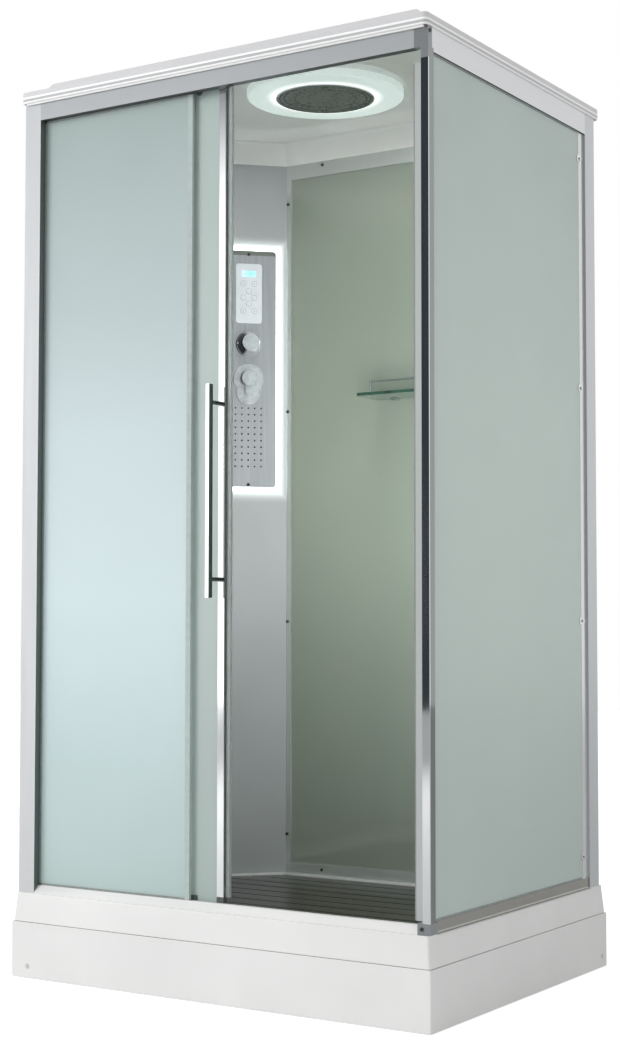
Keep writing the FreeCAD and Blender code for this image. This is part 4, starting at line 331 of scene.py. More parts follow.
def etched_glass(name, dark, light, pale, through, painted_inner_light):
    """Acid-etched float glass: a milky haze that lets most lamp light pass, with a paler band half-way up
    that is painted light.

    Its inner face carries painted light, an emission stronger towards the foot, where painted_inner_light
    isn't 0.
    """
    sockets = {"Transmission_Weight": through, "IOR": 1.45, "Coat_Weight": 0.15, "Coat_Roughness": 0.12}
    material, tree, shader, color = finish(name, dark, light, 420, (0.42, 0.5), 90, 2.0, 0.01, **sockets)
    # Painted light: the paler band half-way up.
    ends = {0: beyond(tree, *PALE_FROM_TOP), 1: beyond(tree, *PALE_FROM_FOOT)}
    middle = add(tree, "ShaderNodeMath", {"operation": "MINIMUM"}, links=ends)
    blend_over(tree, shader, color, pale, middle.outputs[0])
    # Painted light: the inner face emits, standing in for the light that comes through the pane.
    if painted_inner_light:
        below = {0: beyond(tree, *GLOW_FROM_TOP)}
        low = add(tree, "ShaderNodeMath", {"operation": "MULTIPLY"}, {1: painted_inner_light}, below)
        glow = {0: low.outputs[0], 1: facing(tree, BACK)}
        strength = add(tree, "ShaderNodeMath", {"operation": "MULTIPLY"}, links=glow)
        shader.inputs["Emission Color"].default_value = linear("#EEF6F4")
        tree.links.new(strength.outputs[0], shader.inputs["Emission Strength"])
    ray = add(tree, "ShaderNodeLightPath").outputs["Is Shadow Ray"]
    solid = add(tree, "ShaderNodeMapRange", inputs={"To Min": 1.0, "To Max": 0.35}, links={"Value": ray})
    tree.links.new(solid.outputs["Result"], shader.inputs["Alpha"])
    return material


def painted_glass():
    """Float glass painted behind: a flat pale green under a clear mirror-smooth face, barely rippled."""
    sockets = {"IOR": 1.8, "Coat_Weight": 1.0, "Coat_IOR": 1.8, "Coat_Roughness": 0.02}
    return finish("back_painted_glass", "#8D978A", "#979F93", 600, (0.04, 0.08), 120, 90, 0.04, **sockets)[0]


def float_glass():
    """Clear float glass: its faces nearly colourless and its ground edges green."""
    sockets = {"Transmission_Weight": 0.92, "IOR": 1.5}
    material, tree, shader, color = finish(
        "clear_float_glass", "#DFF1EA", "#E9F6F1", 90, (0.02, 0.06), 50, **sockets
    )
    normal = add(tree, "ShaderNodeNewGeometry").outputs["Normal"]
    split = add(tree, "ShaderNodeSeparateXYZ", links={"Vector": normal})
    level = add(tree, "ShaderNodeMath", {"operation": "ABSOLUTE"}, links={0: split.outputs["Z"]})
    side = add(tree, "ShaderNodeMath", {"operation": "SUBTRACT"}, {0: 1.0}, {1: level.outputs[0]})
    blend_over(tree, shader, color, "#6FA893", side.outputs[0])
    return material


def silver_lacquer():
    """Silver lacquer: a flake drawn 1.2 mm across, and a glow painted on round the lit panel, standing in for
    the light that spills from its edge.
    """
    material, tree, shader, _ = finish(
        "silver_lacquer", "#B3B6B8", "#BEC0C2", 300, (0.34, 0.42), 1.2, 1.2, 0.006, metallic=0.3
    )
    # Painted light: the column's lacquer emits near the panel's edge, as if lit by it.
    past = past_edge(tree, "led_diffuser", SPILL)
    near = add(tree, "ShaderNodeMath", {"operation": "SUBTRACT"}, {0: 1.0}, {1: past}).outputs[0]
    soft = add(tree, "ShaderNodeMath", {"operation": "POWER"}, {1: 2.5}, {0: near}).outputs[0]
    links = {0: soft, 1: facing(tree, OUT_OF_COLUMN)}
    painted_spill = add(tree, "ShaderNodeMath", {"operation": "MULTIPLY"}, links=links).outputs[0]
    shader.inputs["Emission Color"].default_value = linear("#C3CAC9")
    tree.links.new(painted_spill, shader.inputs["Emission Strength"])
    return material


def brushed_steel():
    """Stainless sheet brushed upright, its lines drawn 1.6 mm apart; the turned top edge is painted darker as
    shade.
    """
    material, tree, shader, color = finish(
        "brushed_stainless", "#B9BBC0", "#C6C7CB", 8, (0.32, 0.42), 4, 1.6, 0.01, (1, 1, 0.03), metallic=0.55
    )
    top = node_box("control_panel")[1][2]
    lip = top - SHADED_PANEL_LIP
    # Painted shade on the turned top edge.
    blend_over(tree, shader, color, "#8C8F88", beyond(tree, lip, lip + 0.5 * MM))
    return material


def edge_lit_acrylic(strength):
    """Opal acrylic lit from its edge: a white glow that fades away from the panel, a little mottled."""
    material, tree, shader, color = finish("edge_lit_acrylic", "#EAF7F6", "#F6FCFB", 45, (0.3, 0.4), 20)
    tree.links.new(color.outputs[2], shader.inputs["Emission Color"])
    ends = {"From Min": 0.1, "From Max": 1.0, "To Min": strength, "To Max": 0.15 * strength}
    fall = {"Value": past_edge(tree, "control_panel", DIFFUSER_FADE)}
    dimming = add(tree, "ShaderNodeMapRange", {"interpolation_type": "SMOOTHSTEP"}, ends, fall)
    tree.links.new(dimming.outputs["Result"], shader.inputs["Emission Strength"])
    return material


def opal_ring(strength):
    """Opal polycarbonate ring over its lamps: brightest beside the head and fading outwards."""
    material, tree, shader, _ = finish("opal_polycarbonate", "#D6E0DE", "#E2EAE8", 60, (0.3, 0.38), 30)
    low, high = node_box("light_ring")
    place = add(tree, "ShaderNodeTexCoord").outputs["Object"]
    middle = tuple(-(low + high) / 2)
    centred = add(tree, "ShaderNodeMapping", inputs={"Location": middle}, links={"Vector": place})
    spot = {0: centred.outputs[0]}
    flat = add(tree, "ShaderNodeVectorMath", {"operation": "MULTIPLY"}, {1: (1, 1, 0)}, spot)
    reach = add(tree, "ShaderNodeVectorMath", {"operation": "LENGTH"}, links={0: flat.outputs[0]})
    outer = (high - low)[0] / 2
    ends = {"From Min": outer * RING_LAMPS, "From Max": outer * RING_RIM}
    fall = add(tree, "ShaderNodeMapRange", inputs=ends, links={"Value": reach.outputs["Value"]})
    tones = {6: linear("#FFFFFF"), 7: linear("#A2ADAA")}
    glow = add(tree, "ShaderNodeMix", {"data_type": "RGBA"}, tones, {"Factor": fall.outputs["Result"]})
    tree.links.new(glow.outputs[2], shader.inputs["Emission Color"])
    shader.inputs["Emission Strength"].default_value = strength
    return material


def moulded_abs(name, dark, light, rough, **sockets):
    """Injection-moulded ABS: a fine even texture, slightly shinier where it is touched."""
    return finish(name, dark, light, 40, (rough, rough + 0.08), 12, 1.5, 0.01, **sockets)[0]


def backlit_window(strength):
    """Clear window over a backlit display: pale cyan, its glow in soft patches of two tones."""
    sockets = {"Coat_Weight": 0.4, "Coat_Roughness": 0.03}
    material, tree, shader, color = finish(
        "backlit_window", "#9FE0F6", "#C9F0FB", 22, (0.1, 0.14), 10, **sockets
    )
    tree.links.new(color.outputs[2], shader.inputs["Emission Color"])
    shader.inputs["Emission Strength"].default_value = strength
    return material


def soft_rubber(name, dark, light, **sockets):
    """Moulded silicone or PVC: matt, with a fine skin and dust-pale patches."""
    return finish(name, dark, light, 14, (0.5, 0.65), 8, 1.5, 0.02, **sockets)[0]


def composite_boards():
    """Extruded wood-plastic boards: long streaks 4 mm wide along each board, wiped to a low gloss."""
    sockets = {"Coat_Weight": 0.6, "Coat_Roughness": 0.06, "Specular_IOR_Level": 0.3}
    material, tree, shader, color = finish(
        "composite_boards", "#352E2A", "#443B36", 6, (0.35, 0.45), 80, 6, 0.05, (0.03, 1, 1), **sockets
    )
    low, high = node_box("floor_slats")
    pitch = (high[1] - low[1] + BOARD_GAP) / BOARDS
    place = add(tree, "ShaderNodeTexCoord").outputs["Object"]
    behind = add(tree, "ShaderNodeSeparateXYZ", links={"Vector": place}).outputs["Y"]
    start = low[1] - BOARD_GAP / 2
    one_board = {1: start, 2: start + pitch}
    run = add(tree, "ShaderNodeMapRange", {"clamp": False}, one_board, {"Value": behind})
    in_board = add(tree, "ShaderNodeMath", {"operation": "PINGPONG"}, {1: 0.5}, {0: run.outputs["Result"]})
    ends = {"From Min": 0.115, "From Max": 0.075}
    edge = add(tree, "ShaderNodeMapRange", inputs=ends, links={"Value": in_board.outputs[0]})
    blend_over(tree, shader, color, "#120F0D", edge.outputs["Result"])
    return material


def raw_metal(name, dark, light, rough):
    """Cast or hot-dipped metal: cloudy crystals about 20 mm across."""
    return finish(name, dark, light, 20, (rough, rough + 0.15), 10, 5, 0.05, metallic=1.0)[0]


def printed_ink_and_shade(name, dark, light):
    """Screen-printed inks, also laid as dark strips of painted shade: matt, with the slight unevenness of a
    thin coat.
    """
    return finish(name, dark, light, 4, (0.45, 0.55), 3)[0]


# ------------------------------------------------------------------ computed surfaces
def grid_faces(rows, columns, closed_rows=False, closed_columns=True):
    """Quads of a rows x columns grid of points, joined round in the directions that close."""
    r = np.arange(rows if closed_rows else rows - 1)
    c = np.arange(columns if closed_columns else columns - 1)
    a, b = np.meshgrid(r, c, indexing="ij")
    next_a = (a + 1) % rows
    next_b = (b + 1) % columns
    quads = [a * columns + b, a * columns + next_b, next_a * columns + next_b, next_a * columns + b]
    return np.stack(quads, -1).reshape(-1, 4)


def revolve(profile, centre, axis, side, steps):
    """Surface of revolution: point(t, s) = centre + axis*h(t) + r(t)*(side*cos s + other*sin s)."""
    profile = np.asarray(profile, float)
    other = np.cross(axis, side)
    turn = np.linspace(0, 2 * np.pi, steps, endpoint=False)[:, None]
    ring = np.cos(turn) * side + np.sin(turn) * other
    points = centre + profile[:, 1, None, None] * axis + profile[:, 0, None, None] * ring
    return points.reshape(-1, 3), grid_faces(len(profile), steps)


def lid(ring):
    """Closes a ring of points with triangles to its middle."""
    count = len(ring)
    corner = np.arange(count)
    fan = np.stack([corner, (corner + 1) % count, np.full(count, count)], -1)
    return np.vstack([ring, ring.mean(0)]), fan


def sweep(section, path, side, closed=False):
    """Carries a section along a path: point(i, j) = path_i + a_j*side_i + b_j*(tangent_i x side_i)."""
    section = np.asarray(section, float)
    path = np.asarray(path, float)
    ahead = np.roll(path, -1, 0) - np.roll(path, 1, 0) if closed else np.gradient(path, axis=0)
    tangent = ahead / np.linalg.norm(ahead, axis=1, keepdims=True)
    side = np.broadcast_to(side, path.shape)
    side = side - (side * tangent).sum(1, keepdims=True) * tangent
    side = side / np.linalg.norm(side, axis=1, keepdims=True)
    up = np.cross(tangent, side)
    points = path[:, None] + section[None, :, :1] * side[:, None] + section[None, :, 1:] * up[:, None]
    walls = (points.reshape(-1, 3), grid_faces(len(path), len(section), closed))
    return [walls] if closed else [walls, lid(points[0]), lid(points[-1])]


def rectangle(wide, high):
    """Section of a strip: wide across it and high above the plane it lies on."""
    return np.array([[0, -0.5], [1, -0.5], [1, 0.5], [0, 0.5]]) * (high, wide)


def arc(radius, start, end, steps, centre=(0, 0)):
    """Points centre + radius*(cos a, sin a), with the angle a going from start to end in degrees."""
    turn = np.radians(np.linspace(start, end, steps))
    return np.asarray(centre, float) + radius * np.stack([np.cos(turn), np.sin(turn)], -1)


def on_plane(points, centre, across, up):
    """Flat points laid on a plane: point(i) = centre + a_i*across + b_i*up."""
    points = np.asarray(points, float)
    return centre + points[..., :1] * across + points[..., 1:] * up


def drawn_on(lines, centre, across, outward, wide, high):
    """Strips along flat lines, given in mm across and up from centre on a face that looks outward."""
    strips = []
    for line in lines:
        line = np.asarray(line, float) * MM
        path = on_plane(line, centre, across, UP)
        round_trip = np.allclose(line[0], line[-1])
        strips += sweep(rectangle(wide, high), path[:-1] if round_trip else path, outward, round_trip)
    return strips


def repeated(part, places):
    """The same small surface at each place: point(k, i) = point_i + place_k."""
    points, faces = part
    places = np.asarray(places, float)
    moved = (points[None] + places[:, None]).reshape(-1, 3)
    shifted = faces[None] + (np.arange(len(places)) * len(points))[:, None, None]
    return moved, shifted.reshape(-1, faces.shape[1])


def ring_grille(centre, axis, side, radius, rings, spokes):
    """Round grille: hoops at even radii up to radius, joined by straight spokes."""
    other = np.cross(axis, side)
    wire = arc(GRILLE_WIRE, 0, 360, 9)[:-1]
    parts = []
    for share in np.arange(1, rings + 1) / rings:
        hoop = arc(radius * share, 0, 360, 37)[:-1]
        parts += sweep(wire, on_plane(hoop, centre, side, other), axis, True)
    for tip in arc(radius, 0, 360 - 360 / spokes, spokes):
        parts += sweep(wire, [centre, on_plane(tip, centre, side, other)], axis)
    return parts


def make_piece(name, surfaces, material, body):
    """Joins the surfaces into one mesh that rides on a body, its seams welded and its faces outward."""
    points = np.concatenate([some for some, _ in surfaces])
    starts = np.cumsum([0] + [len(some) for some, _ in surfaces])
    faces = [face for (_, some), start in zip(surfaces, starts) for face in (some + start).tolist()]
    mesh = bpy.data.meshes.new(name)
    mesh.from_pydata(points.tolist(), [], faces)
    shape = bmesh.new()
    shape.from_mesh(mesh)
    bmesh.ops.remove_doubles(shape, verts=shape.verts, dist=1e-6)
    bmesh.ops.recalc_face_normals(shape, faces=shape.faces)
    shape.to_mesh(mesh)
    shape.free()
    mesh.materials.append(material)
    mesh.shade_smooth()
    mesh.set_sharp_from_angle(angle=SHARP_EDGE)
    piece = bpy.data.objects.new(name, mesh)
    bpy.context.scene.collection.objects.link(piece)
    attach(piece, body)


def dress(material, *names):
    """Gives each named solid this one finish."""
    for name in names:
        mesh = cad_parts[name].data
        mesh.materials.clear()
        mesh.materials.append(material)


# ------------------------------------------------------------------ marks on the keys and the display
def turned(line, degrees):
    """The line turned about the middle of its mark."""
    a = math.radians(degrees)
    return np.asarray(line, float) @ np.array([[math.cos(a), math.sin(a)], [-math.sin(a), math.cos(a)]])


# Lines in mm from the middle of each key.
WAVE = np.stack([0.5 * np.sin(np.linspace(0, 2 * np.pi, 9)), np.linspace(-2, 2, 9)], -1)
ARROW = [(0.9, 1.5), (-0.9, 0.0), (0.9, -1.5)]
BLADE = arc(1.1, 0, 180, 7, (1.1, 0))
KEY_MARKS = {
    "key_power": [arc(2.1, 125, 415, 17), [(0, 0.6), (0, 2.9)]],
    "key_light": [arc(1.4, -60, 240, 13, (0, 0.6)), [(-0.8, -1.4), (0.8, -1.4)], [(-0.6, -2.2), (0.6, -2.2)]],
    "key_up": [[(-1.8, 0), (1.8, 0)]],
    "key_left": [ARROW],
    "key_right": [turned(ARROW, 180)],
    "key_down": [arc(2.0, 215, 325, 9, (0, 1.2))],
    "key_steam": [WAVE - (1.5, 0), WAVE, WAVE + (1.5, 0)],
    "key_fan": [turned(BLADE, angle) for angle in (30, 150, 270)],
}
# Lines in mm from the middle of a digit, and the digits' places across the window.
SEGMENTS = {
    "top": [(-1, 2), (1, 2)],
    "middle": [(-1, 0), (1, 0)],
    "low": [(-1, -2), (1, -2)],
    "high_left": [(-1, 0), (-1, 2)],
    "high_right": [(1, 0), (1, 2)],
    "low_left": [(-1, -2), (-1, 0)],
    "low_right": [(1, -2), (1, 0)],
}
DIGITS = {
    "2": ("top", "high_right", "middle", "low_left", "low"),
    "4": ("high_left", "high_right", "middle", "low_right"),
    "0": ("top", "high_left", "high_right", "low_left", "low_right", "low"),
}
READING = (("4", -13.0), ("0", -8.5), ("2", 3.5), ("0", 8.0))


# ------------------------------------------------------------------ settings
class CabinLooks(bpy.types.PropertyGroup):
    nozzle_radius: bpy.props.FloatProperty(
        name="Nozzle radius", description="Radius of a nozzle on the head", unit="LENGTH", default=1.8 * MM
    )
    nozzle_rings: bpy.props.IntProperty(
        name="Nozzle rings", description="Rings of nozzles on the head", default=2
    )
    line_width: bpy.props.FloatProperty(
        name="Mark width", description="Width of a printed line", unit="LENGTH", default=0.55 * MM
    )
    seal_width: bpy.props.FloatProperty(
        name="Seal width", description="Width of the glazing seals", unit="LENGTH", default=4.5 * MM
    )
    bead_width: bpy.props.FloatProperty(
        name="Silicone bead", description="Leg of the silicone beads", unit="LENGTH", default=4.0 * MM
    )
    panel_glow: bpy.props.FloatProperty(
        name="Panel glow", description="Strength of the lit panel edge", default=4.0
    )
    ring_glow: bpy.props.FloatProperty(
        name="Ring glow", description="Strength of the ceiling ring", default=0.9
    )
    key_light: bpy.props.FloatProperty(
        name="Key light", description="Watts of the large soft lamp", default=185.0
    )
    inner_light: bpy.props.FloatProperty(
        name="Inner light", description="Watts of light inside", default=5.2
    )
    sky_light: bpy.props.FloatProperty(
        name="Sky light", description="Strength of the even light", default=0.5
    )


def looks():
    """The settings of this scene's cabin."""
    return bpy.context.scene.cabin_looks


class OBJECT_OT_cabin_shell(bpy.types.Operator):
    """Finishes of the tray, skirts, roof, ceiling and floor boards"""
    bl_idname = "cabin.shell"
    bl_label = "Tray, roof and floor"

    def execute(self, context):
        white = formed_acrylic("formed_acrylic_white", "#EEEEED", "#F4F4F3", (0.14, 0.22), 1.0)
        dress(white, "shower_tray", "front_apron", "side_aprons", "front_threshold")
        dress(roof_acrylic(), "roof_shell")
        ceiling = formed_acrylic("formed_acrylic_ceiling", "#EEECEB", "#F4F2F1", (0.08, 0.12), 1.8)
        dress(ceiling, "ceiling_panel")
        dress(composite_boards(), "floor_slats")
        dress(moulded_abs("moulded_waste", "#BFC1C1", "#CACBCB", 0.35), "drain_waste")
        dress(moulded_abs("moulded_foot", "#262627", "#333334", 0.45), "levelling_feet")
        dress(raw_metal("hot_dipped_zinc", "#9A9C9E", "#B0B2B3", 0.4), "tray_support_frame")
        return {"FINISHED"}


class OBJECT_OT_cabin_frame(bpy.types.Operator):
    """Finishes of the posts, rails, strips, seals and fittings"""
    bl_idname = "cabin.frame"
    bl_label = "Frame and fittings"

    def execute(self, context):
        dress(anodised_aluminium("anodised_upright", UPRIGHT_LINES), "rear_right_post")
        # The left post's third tone is painted shade on its right-facing side.
        tones = ("#D2D4D7", "#DCDEE0", "#66726E")
        dress(anodised_aluminium("anodised_left_post", UPRIGHT_LINES, *tones), "left_front_post")
        dress(anodised_aluminium("anodised_across", CROSSWISE_LINES), "front_top_rail")
        dress(anodised_aluminium("anodised_deep", DEEP_LINES, "#CDCFD1", "#D7D9DB"), "side_top_rail")
        dress(polished_post(), "corner_post")
        dress(door_metal("bright_anodised_door", "#8B8F90"), "door_edge_profile")
        bright_pieces = (
            ("wall_strips", "bright_anodised_strips", "#D6D9D8", "#E2E4E3", 0.16, 0.6),
            ("strike_profile", "bright_anodised_strike", "#BEC3C1", "#C8CDCB", 0.3, 0.2),
            ("corner_blocks", "bright_anodised_castings", "#8A8D90", "#95989B", 0.3, 0.4),
            # The sill's darker tones are painted shade.
            ("side_bottom_rail", "bright_anodised_sill", "#9A9994", "#A6A5A0", 0.2, 0.8),
        )
        for piece, *made in bright_pieces:
            dress(bright_aluminium(*made)[0], piece)
        chrome = polished_chrome()
        dress(chrome, "side_glass_clips", "shelf_fittings", "shower_head", "shower_riser", "steam_outlet")
        dress(turned_chrome(), "escutcheons", "mixer_knob", "diverter_knob")
        dress(door_metal("polished_steel_handle", "#565E5C"), "door_handle")
        dress(screw_steel(), "assembly_screws")
        dress(soft_rubber("moulded_seal", "#8E9090", "#9A9C9C"), "strike_seal")
        clear = soft_rubber("clear_pvc", "#E3E9E7", "#EEF2F1", Transmission_Weight=0.8)
        dress(clear, "door_seal")
        trim = soft_rubber("clear_pvc_trim", "#B9C6C3", "#C3CFCC", Transmission_Weight=0.1)
        dress(trim, "fixed_glass_trim")
        dress(moulded_abs("moulded_acetal", "#A4A6A8", "#B2B4B6", 0.3), "roller_left", "roller_right")
        dress(moulded_abs("moulded_acetal_grey", "#4E5253", "#5C6061", 0.3), "door_fittings")
        return {"FINISHED"}


class OBJECT_OT_cabin_glass(bpy.types.Operator):
    """Finishes of the panes and the shelf"""
    bl_idname = "cabin.glass"
    bl_label = "Glass"

    def execute(self, context):
        # The fourth tone of each pane is its painted paler band, and the last number is the strength of its
        # painted inner light.
        etched_panes = (
            ("fixed_front_glass", "etched_glass_front", "#B0C0BD", "#B8C6C4", "#D8E4E7", 0.25, 1.0),
            ("door_glass", "etched_glass_door", "#BECDC9", "#C6D4D0", "#CFDBD8", 0.3, 0.0),
            ("side_glass", "etched_glass_side", "#C8D7D2", "#D2DFDB", "#DAE7E2", 0.22, 0.0),
        )
        for pane, *made in etched_panes:
            dress(etched_glass(*made), pane)
        dress(painted_glass(), "back_wall_glass", "left_wall_glass")
        dress(float_glass(), "glass_shelf")
        return {"FINISHED"}


class OBJECT_OT_cabin_column(bpy.types.Operator):
    """Finishes of the column, its panel, the ceiling lights and the services behind"""
    bl_idname = "cabin.column"
    bl_label = "Column and services"

    def execute(self, context):
        dress(silver_lacquer(), "corner_column")
        dress(edge_lit_acrylic(looks().panel_glow), "led_diffuser")
        dress(brushed_steel(), "control_panel", "steam_generator")
        dress(moulded_abs("moulded_fascia", "#E2E5EC", "#EAEDF2", 0.2, Coat_Weight=0.3), "display_fascia")
        dress(backlit_window(0.55), "lcd_window")
        dress(soft_rubber("moulded_nozzles", "#0C0D0E", "#151617"), "jet_nozzles")
        dress(raw_metal("cast_brass", "#B08B45", "#C4A05A", 0.3), "valve_block")
        dress(opal_ring(looks().ring_glow), "light_ring")
        dress(moulded_abs("moulded_head_face", "#5A605C", "#666C68", 0.25), "shower_face")
        key_caps = [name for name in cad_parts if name.startswith("key_")]
        dress(moulded_abs("moulded_key_caps", "#DFE3EB", "#E9ECF2", 0.35), *key_caps)
        return {"FINISHED"}


class OBJECT_OT_head_nozzles(bpy.types.Operator):
    """Rings of soft nozzles round the overhead head's face"""
    bl_idname = "cabin.head_nozzles"
    bl_label = "Head nozzles"

    def execute(self, context):
        size = looks().nozzle_radius
        middle = face_spot("shower_face", -UP)
        low, high = node_box("shower_face")
        places = []
        for radius in np.linspace(*NOZZLE_SPAN, looks().nozzle_rings) * (high - low)[0] / 2:
            count = int(radius * 2 * np.pi / (4 * size))
            spots = arc(radius, 0, 360 - 360 / count, count)
            places.append(on_plane(spots, middle, RIGHT, BACK))
        profile = np.array([(1, -0.2), (0.9, 0.5), (0.6, 0.7), (0.3, 0.65), (0.25, 0.3), (0, 0.3)]) * size
        nozzle = revolve(profile, np.zeros(3), -UP, RIGHT, 10)
        rubber = soft_rubber("moulded_head_nozzles", "#565C58", "#636966")
        nozzles = repeated(nozzle, np.concatenate(places))
        make_piece("head_nozzles", [nozzles], rubber, "cabin")
        # Painted shade: dark strips along the groove and the short lines of the head's face.
        ink_and_shade = printed_ink_and_shade("groove_shadow", "#1D211F", "#272B29")
        hoop = arc(FACE_GROOVE, 0, 360, 73)[:-1]
        strip = rectangle(2.6 * MM, 0.1 * MM)
        lines = sweep(strip, on_plane(hoop, middle, RIGHT, BACK), -UP, True)
        for ends in zip(arc(FACE_GROOVE, 0, 300, 6), arc(FACE_GROOVE * SPOKE_REACH, 0, 300, 6)):
            lines += sweep(strip, on_plane(ends, middle, RIGHT, BACK), -UP)
        make_piece("head_face_lines", lines, ink_and_shade, "cabin")
        return {"FINISHED"}


class OBJECT_OT_screw_crosses(bpy.types.Operator):
    """Dark strips painted as the shade in the screw heads' cross recesses"""
    bl_idname = "cabin.screw_crosses"
    bl_label = "Screw crosses"

    def execute(self, context):
        bars = []
        for points in solids_of("assembly_screws"):
            axes = np.array([-BACK, RIGHT * np.sign(points[0, 0]), OUT_OF_COLUMN])
            outward = axes[np.ptp(points @ axes.T, axis=0).argmin()]
            middle = (points.min(0) + points.max(0)) / 2
            middle = middle + outward * ((points @ outward).max() - middle @ outward)
            if middle[2] > 0.1:
                across = np.cross(UP, outward)
                cross = [[(-2, 0), (2, 0)], [(0, -2), (0, 2)]]
                bars += drawn_on(cross, middle, across, outward, 1.0 * MM, 0.12 * MM)
        # Painted shade: the dark strips stand for the recesses.
        shadow = printed_ink_and_shade("recess_shadow", "#151515", "#1F1F1F")
        make_piece("screw_crosses", bars, shadow, "cabin")
        return {"FINISHED"}


class OBJECT_OT_key_marks(bpy.types.Operator):
    """Plain marks on the keys of the display"""
    bl_idname = "cabin.key_marks"
    bl_label = "Key marks"

    def execute(self, context):
        ink_and_shade = printed_ink_and_shade("printed_grey_ink", "#3E434A", "#4A4F57")
        for key, lines in KEY_MARKS.items():
            middle = face_spot(key, OUT_OF_COLUMN)
            strips = drawn_on(lines, middle, ACROSS_COLUMN, OUT_OF_COLUMN, looks().line_width, 0.06 * MM)
            make_piece(key.replace("key", "mark"), strips, ink_and_shade, key + "_cap")
        fascia = face_spot("display_fascia", OUT_OF_COLUMN)
        rings = []
        for key in KEY_MARKS:
            spot = face_spot(key, OUT_OF_COLUMN)
            spot = spot - OUT_OF_COLUMN * ((spot - fascia) @ OUT_OF_COLUMN)
            radius = np.ptp(node_points(key)[:, 2]) / 2 / MM + KEY_RING_GAP
            ring = [arc(radius, 0, 360, 33)]
            rings += drawn_on(ring, spot, ACROSS_COLUMN, OUT_OF_COLUMN, 0.7 * MM, 0.05 * MM)
        pale = printed_ink_and_shade("printed_ring_ink", "#7A8089", "#868C95")
        make_piece("key_rings", rings, pale, "cabin")
        return {"FINISHED"}


class OBJECT_OT_display_marks(bpy.types.Operator):
    """A plain reading in the window, and the line that joins the four middle keys"""
    bl_idname = "cabin.display_marks"
    bl_label = "Display marks"

    def execute(self, context):
        window = face_spot("lcd_window", OUT_OF_COLUMN)
        lines = [np.array(SEGMENTS[part]) + (at, 0) for digit, at in READING for part in DIGITS[digit]]
        strips = drawn_on(lines, window, ACROSS_COLUMN, OUT_OF_COLUMN, 0.5 * MM, 0.05 * MM)
        blue = printed_ink_and_shade("display_ink", "#3F8FB4", "#4A9ABE")
        make_piece("display_reading", strips, blue, "cabin")
        fascia = face_spot("display_fascia", OUT_OF_COLUMN)
        round_the_ring = ("key_up", "key_right", "key_down", "key_left")
        keys = [face_spot(name, OUT_OF_COLUMN) - fascia for name in round_the_ring]
        flat = np.array([(spot @ ACROSS_COLUMN, spot[2]) for spot in keys]) / MM
        legs = []
        for start, end in zip(flat, np.roll(flat, -1, 0)):
            along = (end - start) / np.linalg.norm(end - start)
            legs.append([start + along * KEY_LINE_GAP, end - along * KEY_LINE_GAP])
        ink_and_shade = printed_ink_and_shade("printed_pale_ink", "#8E949C", "#9AA0A8")
        strips = drawn_on(legs, fascia, ACROSS_COLUMN, OUT_OF_COLUMN, 0.4 * MM, 0.06 * MM)
        make_piece("display_line", strips, ink_and_shade, "cabin")
        return {"FINISHED"}


class OBJECT_OT_glazing_seals(bpy.types.Operator):
    """Grey seals where the fixed panes meet their profiles"""
    bl_idname = "cabin.glazing_seals"
    bl_label = "Glazing seals"

    def execute(self, context):
        wide = looks().seal_width
        section = rectangle(wide, 1.4 * MM)
        sill = node_box("side_bottom_rail")[1][2]
        head = node_box("side_top_rail")[0][2]
        front = node_box("corner_post")[0][1] + 24 * MM + wide / 2
        back = node_box("side_glass_clips")[0][1]
        face = node_box("side_glass")[1][0]
        seals = sweep(section, [(face, front, sill), (face, front, head)], RIGHT)
        for level in (sill + wide / 2, head - wide / 2):
            seals += sweep(section, [(face, front, level), (face, back, level)], RIGHT)
        left = node_box("left_front_post")[1][0]
        rail = node_box("front_top_rail")[0][2]
        lip = node_box("front_threshold")[1][2]
        right = node_box("fixed_glass_trim")[0][0]
        face = node_box("fixed_front_glass")[0][1]
        for level in (rail - wide / 2, lip + wide / 2):
            seals += sweep(section, [(left, face, level), (right, face, level)], -BACK)
        seals += sweep(section, [(left + wide / 2, face, lip), (left + wide / 2, face, rail)], -BACK)
        grey = soft_rubber("moulded_glazing_seal", "#8A9290", "#9BA29F")
        make_piece("glazing_seals", seals, grey, "cabin")
        return {"FINISHED"}


class OBJECT_OT_silicone(bpy.types.Operator):
    """Silicone beads where the walls and the frame stand on the tray"""
    bl_idname = "cabin.silicone"
    bl_label = "Silicone beads"

    def execute(self, context):
        leg = looks().bead_width
        hollow = arc(leg, 180, 270, 5, (leg, leg))
        section = np.vstack([[(0, 0)], hollow])
        _, front, foot = node_box("wall_strips")[0]
        left = node_box("left_wall_glass")[1][0] + 5 * MM
        column = node_box("corner_column")
        back = column[1][1]
        right = 541 * MM
        left_wall = [(left, front + 70 * MM, foot), (left, column[0][1], foot)]
        path = np.array(left_wall + [(column[1][0], back, foot), (right, back, foot)])
        ahead = np.gradient(path, axis=0)
        beads = sweep(section, path, np.cross(ahead, UP))
        deck = node_box("shower_tray")[1][2]
        sill = node_box("side_bottom_rail")
        beads += sweep(section, [(sill[1][0], sill[0][1], deck), (sill[1][0], sill[1][1], deck)], RIGHT)
        clear = soft_rubber("sanitary_silicone", "#D9DCDB", "#E4E6E5")
        make_piece("silicone_beads", beads, clear, "cabin")
        return {"FINISHED"}


